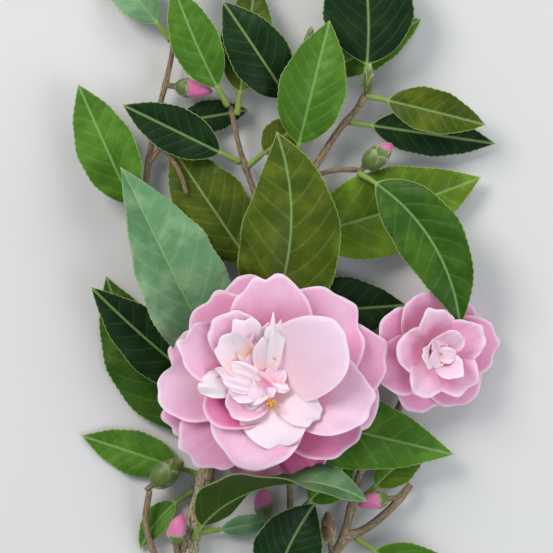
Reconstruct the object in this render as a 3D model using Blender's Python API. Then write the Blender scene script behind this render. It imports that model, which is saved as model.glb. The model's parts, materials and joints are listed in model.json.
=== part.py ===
"""Flowering camellia spray: a branch cut from the shrub, lying on a table with its open bloom facing up.

Sizes and places are in millimetres and angles in degrees. MM turns them into metres where a mesh is made.
X runs across the spray, Y from the cut end towards the tips and Z up from the table. A heading is a plan angle,
anticlockwise from +X, and a rise is an angle above the table. A side stem, leaf or bud names the stem that
carries it and its place on that stem, as a distance along it from its lower end.
"""

import math

import bmesh
import bpy
import numpy as np

MM = 0.001
GAP = 0.35  # clearance between neighbouring pieces
UP = np.array((0.0, 0.0, 1.0))
SPRAY = "camellia_spray"
SPRAY_CENTRE = np.array((2.45, 2.6, 0.05))  # middle of the spray's outline on the table: the origin goes here

STEM_SIDES = 8
STEM_RING_SPACING = 6.0
BUD_SIDES = 8

LEAF_THICKNESS = 0.72
LEAF_MARGIN_THICKNESS = 0.5
PETIOLE_LENGTH = 4.5
PETIOLE_RADIUS = 0.75
PETIOLE_CORNER = 1.0  # how far the corners of its boxy section reach
LEAF_COLUMNS = 4
PETIOLE_ROWS = 2
BLADE_ROWS = 8

PETAL_THICKNESS = 0.5

# Stems: points on the centre line from the lower end to the tip, and (distance, radius) pairs for the taper.
# A side stem's line starts on its parent's centre line, at the distance "at".
STEMS = {
    "main_stem": dict(
        points=[(-28.0, -91.0, 2.7), (-23.5, -71.9, 3.0), (-20.4, -59.2, 3.0), (-17.8, -49.5, 3.1), (-13.5, -38.0, 3.6),
                (-9.2, -24.0, 4.2), (-4.5, -8.0, 4.4), (0.0, 8.0, 4.4), (3.4, 24.0, 4.3), (5.6, 40.0, 3.8),
                (8.0, 56.0, 3.2)],
        taper=[(0, 2.65), (20, 2.5), (43, 1.8), (70, 1.5), (103, 1.2), (152, 0.8)]),
    "left_shoot": dict(
        parent="main_stem", at=51,
        points=[(-20.5, -31.0, 4.7), (-27.5, -16.0, 4.8), (-32.5, 0.0, 4.4), (-34.8, 16.0, 4.0), (-34.0, 30.0, 4.0),
                (-31.1, 44.1, 4.8), (-28.5, 54.5, 5.4), (-26.4, 65.9, 6.0)],
        taper=[(0, 1.25), (60, 0.9), (115, 0.65)]),
    "left_twig": dict(
        parent="left_shoot", at=76,
        points=[(-30.5, 33.6, 6.0), (-27.6, 31.0, 7.4), (-25.2, 26.6, 7.8), (-23.8, 22.0, 7.2)],
        taper=[(0, 0.75), (20, 0.55)]),
    "mid_shoot": dict(
        parent="main_stem", at=102,
        points=[(-5.0, 20.0, 5.4), (-9.5, 33.0, 6.0), (-12.2, 45.0, 6.2)],
        taper=[(0, 0.95), (42, 0.6)]),
    "right_shoot": dict(
        parent="main_stem", at=108,
        points=[(9.0, 27.0, 5.4), (16.0, 38.0, 6.6), (20.9, 43.8, 7.6), (23.3, 47.7, 8.6)],
        taper=[(0, 1.1), (45, 0.75)]),
    "right_twig": dict(
        parent="right_shoot", at=15,
        points=[(15.0, 28.0, 6.2), (21.5, 28.2, 7.0)],
        taper=[(0, 0.75), (14, 0.6)]),
    "lower_branch": dict(
        parent="main_stem", at=8,
        points=[(-13.0, -88.0, 3.2), (1.0, -85.0, 3.2), (12.5, -77.0, 3.4), (18.1, -69.6, 4.0), (22.5, -67.5, 4.4),
                (26.9, -64.4, 4.8), (31.3, -60.2, 5.0), (35.5, -55.0, 5.2)],
        taper=[(0, 1.7), (40, 1.35), (90, 0.8)]),
    "centre_twig": dict(
        parent="lower_branch", at=26,
        points=[(2.6, -75.0, 3.6), (3.6, -62.0, 3.8), (3.4, -52.0, 3.8), (4.4, -42.0, 3.6)],
        taper=[(0, 1.0), (45, 0.7)]),
    "bloom_twig": dict(
        parent="lower_branch", at=51,
        points=[(20.2, -60.0, 3.6), (22.5, -51.6, 3.4), (26.6, -46.4, 3.2), (31.0, -38.0, 3.0), (35.6, -28.0, 2.8)],
        taper=[(0, 1.1), (50, 0.9)]),
    "left_bud_twig": dict(
        parent="main_stem", at=9,
        points=[(-31.0, -76.5, 3.6), (-34.6, -66.0, 4.4), (-33.6, -56.6, 5.6)],
        taper=[(0, 1.0), (30, 0.8)]),
}

# Leaves: length and width of the blade, then how it runs. "rise" is the climb at the foot, "arch" how far that
# bends down by the tip, "turn" how far the heading swings to the left, "roll" the tilt about the midrib at the
# foot (left half up), "twist" what the tilt gains by the tip, and "fold" how far each half lifts off flat.
LEAVES = {
    "leaf_left_large": dict(stem="main_stem", at=62, heading=116, rise=22, length=60, width=26, arch=25, roll=4,
                            twist=36, fold=22),
    "leaf_behind_bloom": dict(stem="main_stem", at=71, heading=58, rise=20, length=54, width=27, arch=24, turn=52),
    "leaf_right_low": dict(stem="main_stem", at=60, heading=-13, rise=8, length=54, width=21, arch=8, roll=-4, fold=12),
    "leaf_twisted": dict(
        stem="main_stem", at=19.5, heading=62, rise=42, length=51, width=21.5, arch=60,
        turn=-95, roll=-163, twist=135, fold=18),
    "leaf_bottom": dict(stem="lower_branch", at=26, heading=80, rise=40, length=24.5, width=18.5, arch=56, turn=-28),
    "leaf_stem_left": dict(
        stem="main_stem", at=37, heading=212, rise=-5, length=16, width=7.5, arch=-2,
        turn=34, roll=20),
    "leaf_left_low": dict(stem="main_stem", at=46, heading=134, rise=-3, length=48, width=20, arch=-1, turn=-26, fold=2),
    "leaf_left_under": dict(stem="main_stem", at=39, heading=162, rise=-6, length=28, width=12, arch=-6, fold=2),
    "leaf_left_dark": dict(stem="main_stem", at=59, heading=143, rise=18, length=42, width=16, arch=23, turn=-8),
    "leaf_pale_low": dict(stem="main_stem", at=23.5, heading=6, rise=-6, length=15, width=5.5, arch=-3, turn=10, fold=4),
    "leaf_right_bright": dict(stem="main_stem", at=104, heading=14, rise=3, length=50, width=23, arch=7, turn=8, fold=6),
    "leaf_upper_left": dict(stem="main_stem", at=92, heading=124, rise=4, length=38, width=20, arch=8, fold=5),
    "leaf_leader_right": dict(stem="main_stem", at=122, heading=76, rise=27, length=34, width=18, arch=36),
    "leaf_leader_left": dict(stem="main_stem", at=138, heading=124, rise=34, length=31, width=16, arch=50),
    "leaf_leader_tip": dict(stem="main_stem", at=146, heading=30, rise=8, length=30, width=12, arch=26),
    "leaf_mid_low": dict(stem="mid_shoot", at=23, heading=41, rise=1, length=14, width=10, arch=4, fold=4),
    "leaf_mid_left": dict(stem="mid_shoot", at=24, heading=154, rise=12, length=29, width=13, arch=18),
    "leaf_mid_tip": dict(
        stem="mid_shoot", at=38, heading=120, rise=26, length=30, width=13, arch=34, turn=-12),
    "leaf_mid_end": dict(stem="mid_shoot", at=34, heading=82, rise=2, length=31, width=14, arch=8, fold=8),
    "leaf_top_right": dict(stem="right_shoot", at=40, heading=82, rise=8, length=34, width=24, arch=12, turn=22, fold=6),
    "leaf_right_olive": dict(stem="right_shoot", at=42, heading=-14, rise=16, length=27, width=12, arch=30),
    "leaf_right_dark": dict(stem="right_shoot", at=33, heading=-8, rise=-8, length=34, width=12, arch=-4, fold=6),
    "leaf_right_edge": dict(stem="right_twig", at=12, heading=-30, rise=27, length=46, width=18, arch=46, turn=-54),
    "leaf_left_tip": dict(stem="left_shoot", at=112, heading=62, rise=18, length=27, width=14, arch=26),
    "leaf_left_bud": dict(stem="left_shoot", at=86, heading=10, rise=-8, length=19, width=9, arch=-5, fold=3),
    "leaf_left_end": dict(stem="left_shoot", at=108, heading=128, rise=2, length=25, width=12, arch=24),
    "leaf_left_outer": dict(stem="left_shoot", at=56, heading=114, rise=14, length=35, width=16, arch=22),
    "leaf_corner": dict(stem="lower_branch", at=54, heading=-34, rise=4, length=32, width=18, arch=20),
    "leaf_spur": dict(stem="bloom_twig", at=9, heading=43, rise=3, length=19, width=10, arch=8, fold=6),
    "leaf_centre_right": dict(stem="centre_twig", at=22, heading=44, rise=0, length=17, width=11, arch=0),
    "leaf_right_under": dict(stem="main_stem", at=84, heading=4, rise=0, length=33, width=18, arch=2, fold=4),
}

# Flower and leaf buds: a stalk of this length, then a pointed egg of this length and width. "turn" swings the
# heading over the whole length. Without "at", a bud ends its stem.
BUDS = {
    "bud_green": dict(stem="left_bud_twig", heading=42, rise=10, stalk=1.0, length=10.5, width=6.6, turn=-6),
    "bud_pink_low": dict(stem="main_stem", at=14, heading=108, rise=36, stalk=4.0, length=8.4, width=4.8, turn=-50),
    "bud_pink_upper": dict(stem="left_shoot", at=97, heading=-8, rise=8, stalk=1.5, length=10.0, width=5.0),
    "bud_tipped": dict(stem="right_twig", heading=40, rise=12, stalk=1.0, length=9.5, width=6.0),
    "bud_shoot_end": dict(stem="right_shoot", heading=84, rise=57, stalk=0.5, length=8.0, width=2.6),
    "bud_pink_right": dict(stem="lower_branch", at=70.5, heading=180, rise=28, stalk=1.5, length=8.4, width=4.4, turn=20),
    "bud_pink_left": dict(stem="left_shoot", at=38, heading=-24, rise=14, stalk=1.0, length=9.5, width=5.0),
    "bud_pink_centre": dict(stem="centre_twig", at=16.2, heading=142, rise=2, stalk=7.0, length=8.5, width=5.0, turn=-66),
    "bud_leader": dict(stem="main_stem", heading=84, rise=12, stalk=0.5, length=9.0, width=3.0),
    "bud_scaly": dict(stem="lower_branch", at=46, heading=98, rise=16, stalk=1.0, length=8.6, width=4.0, turn=-6),
}
BUD_STALK_RADIUS = 0.85
CUP_DEPTH = 3.4
CORE_UNDERSIDE = 0.25  # how far a bloom's core reaches under its seat

# Blooms: the flower's seat and axis, then its petals by whorl. Each petal has its heading round the axis, its
# reach from the axis and its width. A whorl sets the climb at the foot and tip of its petals, its foot's
# distance from the axis and height on the seat, and how much its petals are cupped.
BLOOMS = {
    "bloom": dict(seat=(-2.2, -28.2, 14.0), heading=0, rise=90, core=(5.0, 2.2, 5.5), whorls=[
        dict(foot=2.6, height=0.0, climb=(24, -8), cup=14, grid=(4, 3), petals=[
            (-102, 24.0, 24.0), (-131, 27.0, 19.0), (-153, 26.5, 19.0), (180, 28.5, 20.0), (159, 27.0, 20.0),
            (126, 28.0, 24.0), (101, 29.0, 22.0), (49, 30.5, 26.0), (18, 32.0, 23.0), (-9, 29.0, 22.0),
            (-33, 27.5, 24.0), (-62, 24.0, 17.0)]),
        dict(foot=2.2, height=1.0, climb=(46, 4), cup=22, grid=(4, 3), petals=[
            (86, 28.0, 21.0), (-102, 22.5, 24.0), (-6, 26.0, 22.0), (151, 25.0, 22.0), (198, 20.0, 17.0)]),
        dict(foot=1.8, height=2.0, climb=(58, 18), cup=30, grid=(3, 3), petals=[
            (35, 22.5, 22.0), (-68, 16.5, 18.0), (-25, 15.0, 14.0), (117, 20.0, 15.0), (202, 13.0, 12.0)]),
        dict(foot=1.2, height=3.0, climb=(72, 40), cup=36, grid=(2, 2), petals=[
            (140, 13.0, 10.0), (80, 12.5, 8.0), (10, 9.0, 9.0), (-70, 8.0, 8.0), (168, 9.0, 8.0)]),
    ]),
    "second_bloom": dict(seat=(40.0, -19.6, 6.2), heading=-12, rise=70, core=(3.6, 1.6, 4.0), whorls=[
        dict(foot=2.0, height=0.0, climb=(34, -4), cup=16, grid=(3, 3), petals=[
            (10, 18.0, 17.0), (58, 17.0, 16.0), (104, 16.5, 16.0), (152, 17.0, 17.0), (200, 17.5, 16.0),
            (250, 16.5, 16.0), (310, 17.0, 17.0)]),
        dict(foot=1.5, height=1.0, climb=(60, 20), cup=28, grid=(2, 2), petals=[
            (30, 12.5, 13.0), (100, 12.0, 12.0), (172, 12.5, 13.0), (240, 12.0, 12.0), (312, 12.5, 13.0)]),
        dict(foot=1.0, height=2.0, climb=(76, 50), cup=34, grid=(2, 2), petals=[
            (60, 6.5, 8.0), (180, 6.5, 8.0), (300, 6.5, 8.0)]),
    ]),
}
PETAL_FOOT_WIDTH = 0.34  # as a share of the full width
PETAL_SHOULDER = 0.66  # where along its length a petal is widest
PETAL_ROUNDING = 0.3  # how much shorter a petal is at its sides than down the middle

# Green cups under the blooms, each on its short stalk: points on the way to the bloom's seat, and the radii.
CUPS = {
    "bloom_cup": dict(stem="main_stem", at=66, bloom="bloom", points=[(-6.4, -28.4, 6.8)], radii=[1.0, 1.1, 2.4, 4.6]),
    "second_cup": dict(stem="bloom_twig", bloom="second_bloom", points=[], radii=[0.9, 1.9, 3.2]),
}

LEAF_GREEN = (0.075, 0.19, 0.06)
BARK_BROWN = (0.26, 0.2, 0.13)
PETAL_PINK = (0.86, 0.42, 0.62)
BUD_GREEN = (0.2, 0.33, 0.1)
BUD_PINK = (0.75, 0.2, 0.42)
BUD_BROWN = (0.2, 0.13, 0.06)
BUD_COLORS = {name: BUD_PINK for name in BUDS if "pink" in name} | {"bud_scaly": BUD_BROWN}


def unit(vector):
    return vector / np.linalg.norm(vector)


def direction(heading, rise):
    h, r = math.radians(heading), math.radians(rise)
    return np.array((math.cos(r) * math.cos(h), math.cos(r) * math.sin(h), math.sin(r)))


class Line:
    """A smooth centre line through its points, read by distance along it."""

    def __init__(self, points, taper):
        self.spots = smooth(np.array(points, float))
        steps = np.linalg.norm(np.diff(self.spots, axis=0), axis=1)
        self.distance = np.concatenate([[0.0], np.cumsum(steps)])
        self.length = self.distance[-1]
        self.taper = np.array(taper, float)

    def point(self, at):
        return np.array([np.interp(at, self.distance, self.spots[:, axis]) for axis in range(3)])

    def tangent(self, at):
        reach = 0.5
        return unit(self.point(min(at + reach, self.length)) - self.point(max(at - reach, 0.0)))

    def radius(self, at):
        return float(np.interp(at, self.taper[:, 0], self.taper[:, 1]))


def smooth(points, steps=12):
    """Points on a Catmull-Rom curve through these points."""
    ends = np.vstack([2 * points[0] - points[1], points, 2 * points[-1] - points[-2]])
    found = []
    for a, b, c, d in zip(ends, ends[1:], ends[2:], ends[3:]):
        for t in np.linspace(0, 1, steps, endpoint=False):
            found.append(0.5 * (2 * b + (c - a) * t + (2 * a - 5 * b + 4 * c - d) * t**2
                                + (3 * b - a - 3 * c + d) * t**3))
    return np.array(found + [points[-1]])


def make_object(name, points, faces, color, roughness):
    """An object at the first point of its mesh, the foot that it grows from, parented to the spray."""
    place = points[0]
    mesh = bpy.data.meshes.new(name)
    mesh.from_pydata([tuple((p - place) * MM) for p in points], [], [tuple(map(int, f)) for f in faces])
    mesh.shade_smooth()
    material = bpy.data.materials.new(name)
    material.use_nodes = True
    shader = material.node_tree.nodes["Principled BSDF"]
    shader.inputs["Base Color"].default_value = (*color, 1.0)
    shader.inputs["Roughness"].default_value = roughness
    mesh.materials.append(material)
    made = bpy.data.objects.new(name, mesh)
    bpy.context.scene.collection.objects.link(made)
    made.location = (place - SPRAY_CENTRE) * MM
    made.parent = bpy.data.objects[SPRAY]
    return made


def tube(centres, radii, sides, tangents=None):
    """Points and faces of a closed tube with flat ends, round a line of centres."""
    centres = np.array(centres, float)
    if tangents is None:
        tangents = np.gradient(centres, axis=0)
    side = unit(np.cross(tangents[0], UP if abs(unit(tangents[0])[2]) < 0.9 else np.array((1.0, 0.0, 0.0))))
    points = []
    for centre, along, radius in zip(centres, tangents, radii):
        along = unit(along)
        side = unit(side - along * np.dot(side, along))
        other = np.cross(along, side)
        for k in range(sides):
            turn = 2 * math.pi * k / sides
            points.append(centre + radius * (math.cos(turn) * side + math.sin(turn) * other))
    faces = []
    for j in range(len(centres) - 1):
        for k in range(sides):
            n = (k + 1) % sides
            faces.append((j * sides + k, j * sides + n, (j + 1) * sides + n, (j + 1) * sides + k))
    last = (len(centres) - 1) * sides
    faces.append(tuple(range(sides - 1, -1, -1)))
    faces.append(tuple(range(last, last + sides)))
    return points, faces


def closed_sheet(grid, thickness):
    """Points and faces of a closed solid: a grid of points given thickness along its own normal."""
    rows, columns = grid.shape[:2]
    normal = np.cross(np.gradient(grid, axis=1), np.gradient(grid, axis=0))
    normal /= np.linalg.norm(normal, axis=2, keepdims=True)
    offset = normal * (np.asarray(thickness)[..., None] / 2)
    points = np.concatenate([(grid + offset).reshape(-1, 3), (grid - offset).reshape(-1, 3)])
    under = rows * columns
    faces = []
    for j in range(rows - 1):
        for i in range(columns - 1):
            a = j * columns + i
            quad = (a, a + 1, a + columns + 1, a + columns)
            faces.append(quad)
            faces.append(tuple(under + p for p in reversed(quad)))
    rim = [i for i in range(columns)]
    rim += [j * columns + columns - 1 for j in range(1, rows)]
    rim += [(rows - 1) * columns + i for i in range(columns - 2, -1, -1)]
    rim += [j * columns for j in range(rows - 2, 0, -1)]
    for a, b in zip(rim, rim[1:] + rim[:1]):
        faces.append((b, a, under + a, under + b))
    return points, faces


def foot(line, at, heading, rise, radius):
    """Where a piece of this radius starts, so that it leaves the stem in this direction and stays GAP clear."""
    way = direction(heading, rise)
    along = abs(float(np.dot(way, line.tangent(at))))
    across = max(math.sqrt(1 - along**2), 0.42)
    return line.point(at) + way * (line.radius(at) + GAP + radius * along) / across


def leaf_grid(line, at, heading, length, width, rise=0, arch=0, turn=0, roll=0, twist=0, fold=12):
    """The middle surface of a leaf with its stalk, and its thickness there. Rows run from the foot to the tip."""
    stalk = PETIOLE_LENGTH
    place = foot(line, at, heading, rise, PETIOLE_CORNER)
    total = stalk + length
    stations = list(np.linspace(0, stalk, PETIOLE_ROWS, endpoint=False))
    stations += list(stalk + length * (1 - np.cos(np.linspace(0, math.pi, BLADE_ROWS + 1))) / 2)
    across = np.linspace(-1, 1, LEAF_COLUMNS + 1)
    fine = np.linspace(0, total, 121)
    ways = np.array([direction(heading + turn * s / total, rise - arch * s / total) for s in fine])
    path = place + np.vstack([np.zeros(3), np.cumsum((ways[1:] + ways[:-1]) / 2 * np.diff(fine)[:, None], axis=0)])
    grid = np.zeros((len(stations), len(across), 3))
    thickness = np.zeros(grid.shape[:2])
    for j, s in enumerate(stations):
        centre = np.array([np.interp(s, fine, path[:, axis]) for axis in range(3)])
        way = direction(heading + turn * s / total, rise - arch * s / total)
        left = unit(np.cross(UP, way))
        top = np.cross(way, left)
        tilt = math.radians(roll + twist * s / total)
        side = math.cos(tilt) * left + math.sin(tilt) * top
        normal = math.cos(tilt) * top - math.sin(tilt) * left
        blade = (s - stalk) / length
        half = max(leaf_outline(blade) * width / 2, PETIOLE_RADIUS if blade <= 0.5 else 0.3)
        lift = math.radians(fold) * min(max(blade * 6, 0), 1)
        for i, u in enumerate(across):
            grid[j, i] = centre - half * u * math.cos(lift) * side + half * abs(u) * math.sin(lift) * normal
            thin = LEAF_THICKNESS + (LEAF_MARGIN_THICKNESS - LEAF_THICKNESS) * abs(u)
            thickness[j, i] = 2 * PETIOLE_RADIUS * 0.85 if blade <= 0 else thin
    return grid, thickness


def leaf_outline(blade):
    """Half width at this share of the blade's length, as a share of the widest: pointed oval, widest near 0.43."""
    if not 0 < blade < 1:
        return 0.0
    foot_power, tip_power = 0.8, 1.05
    widest = foot_power / (foot_power + tip_power)
    return (blade / widest)**foot_power * ((1 - blade) / (1 - widest))**tip_power


def petal_grid(heading, reach, width, foot, height, climb, cup, grid):
    """The middle surface of a petal, with the flower's axis along +Z and its seat at the origin."""
    share = np.linspace(0, 1, 41)
    rise = np.radians(climb[0] + (climb[1] - climb[0]) * share)
    forward = np.concatenate([[0.0], np.cumsum((np.cos(rise)[1:] + np.cos(rise)[:-1]) / 2 / 40)])
    upward = np.concatenate([[0.0], np.cumsum((np.sin(rise)[1:] + np.sin(rise)[:-1]) / 2 / 40)])
    length = (reach - foot) / forward[-1]
    rows, columns = grid
    surface = np.zeros((rows + 1, columns + 1, 3))
    for j, row in enumerate(np.linspace(0, 1, rows + 1)):
        swell = math.sin(math.pi / 2 * min(row / PETAL_SHOULDER, 1)) - 0.25 * max(row - PETAL_SHOULDER, 0)
        half = width / 2 * (PETAL_FOOT_WIDTH + (1 - PETAL_FOOT_WIDTH) * swell)
        bend = math.radians(cup)
        for i, u in enumerate(np.linspace(-1, 1, columns + 1)):
            at = row * (1 - PETAL_ROUNDING * abs(u)**2.4)
            tilt = float(np.interp(at, share, rise))
            across = half * math.sin(u * bend) / bend
            lift = half * (1 - math.cos(u * bend)) / bend
            out = foot + length * float(np.interp(at, share, forward)) - lift * math.sin(tilt)
            up = height + length * float(np.interp(at, share, upward)) + lift * math.cos(tilt)
            turn = math.radians(heading)
            surface[j, i] = (out * math.cos(turn) + across * math.sin(turn),
                             out * math.sin(turn) - across * math.cos(turn), up)
    return surface


def flower_frame(heading, rise):
    """Axes of a flower that faces this way, as rows: across, along and its own axis."""
    axis = direction(heading, rise)
    across = unit(np.cross(np.array((0.0, 1.0, 0.0)), axis))
    return np.array((across, np.cross(axis, across), axis))


def fuse(name, parts):
    """One solid from overlapping closed parts: their union, with any sealed hollow filled and loose scrap dropped."""
    whole, *others = parts
    group = bpy.data.collections.new(name + "_parts")
    for other in others:
        bpy.context.scene.collection.objects.unlink(other)
        group.objects.link(other)
    union = whole.modifiers.new("union", "BOOLEAN")
    union.operation = "UNION"
    union.solver = "MANIFOLD"
    union.operand_type = "COLLECTION"
    union.collection = group
    bpy.context.view_layer.update()
    graph = bpy.context.evaluated_depsgraph_get()
    joined = bpy.data.meshes.new_from_object(whole.evaluated_get(graph))
    whole.modifiers.clear()
    for other in others:
        bpy.data.objects.remove(other)
    bpy.data.collections.remove(group)
    keep_outer_shell(joined)
    joined.shade_smooth()
    whole.data = joined
    whole.name = name
    return whole


def keep_outer_shell(mesh):
    work = bmesh.new()
    work.from_mesh(mesh)
    bmesh.ops.triangulate(work, faces=work.faces)
    unseen = set(work.faces)
    shells = []
    while unseen:
        stack = [unseen.pop()]
        shell = []
        while stack:
            face = stack.pop()
            shell.append(face)
            near = {other for edge in face.edges for other in edge.link_faces} & unseen
            unseen -= near
            stack.extend(near)
        shells.append(shell)
    outer = max(shells, key=shell_volume)
    scrap = [face for shell in shells if shell is not outer for face in shell]
    bmesh.ops.delete(work, geom=scrap, context="FACES")
    work.to_mesh(mesh)
    work.free()


def shell_volume(shell):
    return sum(f.verts[0].co.dot(f.verts[1].co.cross(f.verts[2].co)) / 6 for f in shell)


def build_bloom(name, seat, heading, rise, core, whorls):
    frame = flower_frame(heading, rise)
    seat = np.array(seat)
    width, top_width, tall = core
    centres = [seat + frame[2] * h for h in (-CORE_UNDERSIDE, tall * 0.4, tall)]
    parts = [make_object(name, *tube(centres, (width, (width + top_width) / 2, top_width), STEM_SIDES),
                         PETAL_PINK, 0.5)]
    for whorl in whorls:
        shape = {key: whorl[key] for key in whorl if key != "petals"}
        for heading_on_axis, reach, width in whorl["petals"]:
            surface = petal_grid(heading_on_axis, reach, width, **shape) @ frame + seat
            points, faces = closed_sheet(surface, np.full(surface.shape[:2], PETAL_THICKNESS))
            parts.append(make_object(name + "_petal", points, faces, PETAL_PINK, 0.5))
    fuse(name, parts)


def bud_outline(share):
    """Half width at this share of a bud's length, as a share of the widest: a pointed egg."""
    foot_power, tip_power = 0.45, 0.75
    widest = foot_power / (foot_power + tip_power)
    return (share / widest)**foot_power * ((1 - share) / (1 - widest))**tip_power


def build_bud(name, line, heading, rise, stalk, length, width, turn=0, at=None):
    if at is None:
        start = line.point(line.length) + line.tangent(line.length) * (GAP + BUD_STALK_RADIUS * 0.7)
    else:
        start = foot(line, at, heading, rise, BUD_STALK_RADIUS)
    stations = [0.0] if stalk < 2 else [0.0, stalk / 2]
    radii = [BUD_STALK_RADIUS] * len(stations)
    for share in (0.02, 0.12, 0.28, 0.45, 0.62, 0.78, 0.9, 0.99):
        stations.append(stalk + length * share)
        radii.append(max(bud_outline(share) * width / 2, 0.2))
    total = stalk + length
    centres = [start]
    for a, b in zip(stations, stations[1:]):
        middle = (a + b) / 2 / total
        centres.append(centres[-1] + direction(heading + turn * middle, rise * (1 - middle)) * (b - a))
    make_object(name, *tube(centres, radii, BUD_SIDES), BUD_COLORS.get(name, BUD_GREEN), 0.45)


def build_cup(name, line, bloom, points, radii, at=None):
    seat, axis = np.array(BLOOMS[bloom]["seat"]), direction(BLOOMS[bloom]["heading"], BLOOMS[bloom]["rise"])
    points = [*points, seat - axis * CUP_DEPTH, seat - axis * (CORE_UNDERSIDE + GAP)]
    if at is None:
        start = line.point(line.length) + line.tangent(line.length) * GAP
    else:
        way = unit(np.array(points[0]) - line.point(at))
        heading, rise = math.degrees(math.atan2(way[1], way[0])), math.degrees(math.asin(way[2]))
        start = foot(line, at, heading, rise, radii[0])
    path = Line([start, *points], [(0, 0)])
    knots = np.linspace(0, 1, len(radii))
    shares = np.linspace(0, 1, 3 * (len(radii) - 1) + 1)
    stations = path.length * shares
    tangents = [path.tangent(s) for s in stations]
    tangents[-1] = axis
    make_object(name, *tube([path.point(s) for s in stations], np.interp(shares, knots, radii), STEM_SIDES, tangents),
                BUD_GREEN, 0.6)


def build_stems():
    lines = {}
    for name, stem in STEMS.items():
        points = list(stem["points"])
        start = 0.0
        if "parent" in stem:
            parent = lines[stem["parent"]]
            points.insert(0, tuple(parent.point(stem["at"])))
        line = Line(points, stem["taper"])
        if "parent" in stem:
            clear = parent.radius(stem["at"]) + line.radius(0) + GAP
            apart = [np.linalg.norm(parent.spots - spot, axis=1).min() for spot in line.spots]
            start = float(np.interp(clear, apart[:12], line.distance[:12]))
        lines[name] = line
        rings = math.ceil((line.length - start) / STEM_RING_SPACING) + 1
        stations = np.linspace(start, line.length, rings)
        make_object(name, *tube([line.point(s) for s in stations], [line.radius(s) for s in stations], STEM_SIDES),
                    BARK_BROWN, 0.85)
    return lines


def build_leaves(lines):
    for name, leaf in LEAVES.items():
        shape = dict(leaf)
        line = lines[shape.pop("stem")]
        make_object(name, *closed_sheet(*leaf_grid(line, **shape)), LEAF_GREEN, 0.35)


def clear_scene():
    for old in list(bpy.data.objects):
        bpy.data.objects.remove(old)


def main():
    clear_scene()
    bpy.context.scene.collection.objects.link(bpy.data.objects.new(SPRAY, None))
    lines = build_stems()
    build_leaves(lines)
    for name, bud in BUDS.items():
        build_bud(name, lines[bud["stem"]], **{key: bud[key] for key in bud if key != "stem"})
    for name, cup in CUPS.items():
        build_cup(name, lines[cup["stem"]], **{key: cup[key] for key in cup if key != "stem"})
    for name, bloom in BLOOMS.items():
        build_bloom(name, **bloom)


main()
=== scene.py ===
import json
import math

import bmesh
import bpy
import numpy as np
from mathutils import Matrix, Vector, noise

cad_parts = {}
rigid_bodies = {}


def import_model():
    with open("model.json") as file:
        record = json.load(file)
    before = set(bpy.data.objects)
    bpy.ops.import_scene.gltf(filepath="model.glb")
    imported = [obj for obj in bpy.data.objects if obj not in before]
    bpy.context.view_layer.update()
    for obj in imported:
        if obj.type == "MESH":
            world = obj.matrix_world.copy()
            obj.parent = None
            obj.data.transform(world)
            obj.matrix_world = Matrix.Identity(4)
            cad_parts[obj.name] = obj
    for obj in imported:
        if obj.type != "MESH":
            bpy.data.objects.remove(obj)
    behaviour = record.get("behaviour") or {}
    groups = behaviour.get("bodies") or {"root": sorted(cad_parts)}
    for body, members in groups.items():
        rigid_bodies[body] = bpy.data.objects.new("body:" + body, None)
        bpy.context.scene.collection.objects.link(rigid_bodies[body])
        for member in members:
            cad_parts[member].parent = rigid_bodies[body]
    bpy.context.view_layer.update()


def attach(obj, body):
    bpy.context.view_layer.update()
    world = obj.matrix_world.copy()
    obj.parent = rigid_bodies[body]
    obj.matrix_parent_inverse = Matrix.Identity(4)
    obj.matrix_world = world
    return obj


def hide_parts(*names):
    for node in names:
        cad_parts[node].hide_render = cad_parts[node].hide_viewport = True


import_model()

mm = 0.001
up = np.array((0.0, 0.0, 1.0))
goldenAngle = math.pi * (3 - math.sqrt(5))
spray = {"middle": (2.45, 2.6, 0.05), "gap": 0.35}  # as the solids: the middle, and the gap at a joint

print("camellia spray: frame loaded")


class Wire:  # one output of a node, with sums written on it
    def __init__(self, tree, socket):
        self.tree = tree
        self.socket = socket

    def out(self, name):  # another output of the same node
        return Wire(self.tree, self.socket.node.outputs[name])

    def __add__(self, other):
        return self.tree.math("ADD", self, other)

    def __sub__(self, other):
        return self.tree.math("SUBTRACT", self, other)

    def __rsub__(self, other):
        return self.tree.math("SUBTRACT", other, self)

    def __mul__(self, other):
        return self.tree.math("MULTIPLY", self, other)

    def __truediv__(self, other):
        return self.tree.math("DIVIDE", self, other)

    def __pow__(self, other):
        return self.tree.math("POWER", self, other)

    __radd__ = __add__
    __rmul__ = __mul__


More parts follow.
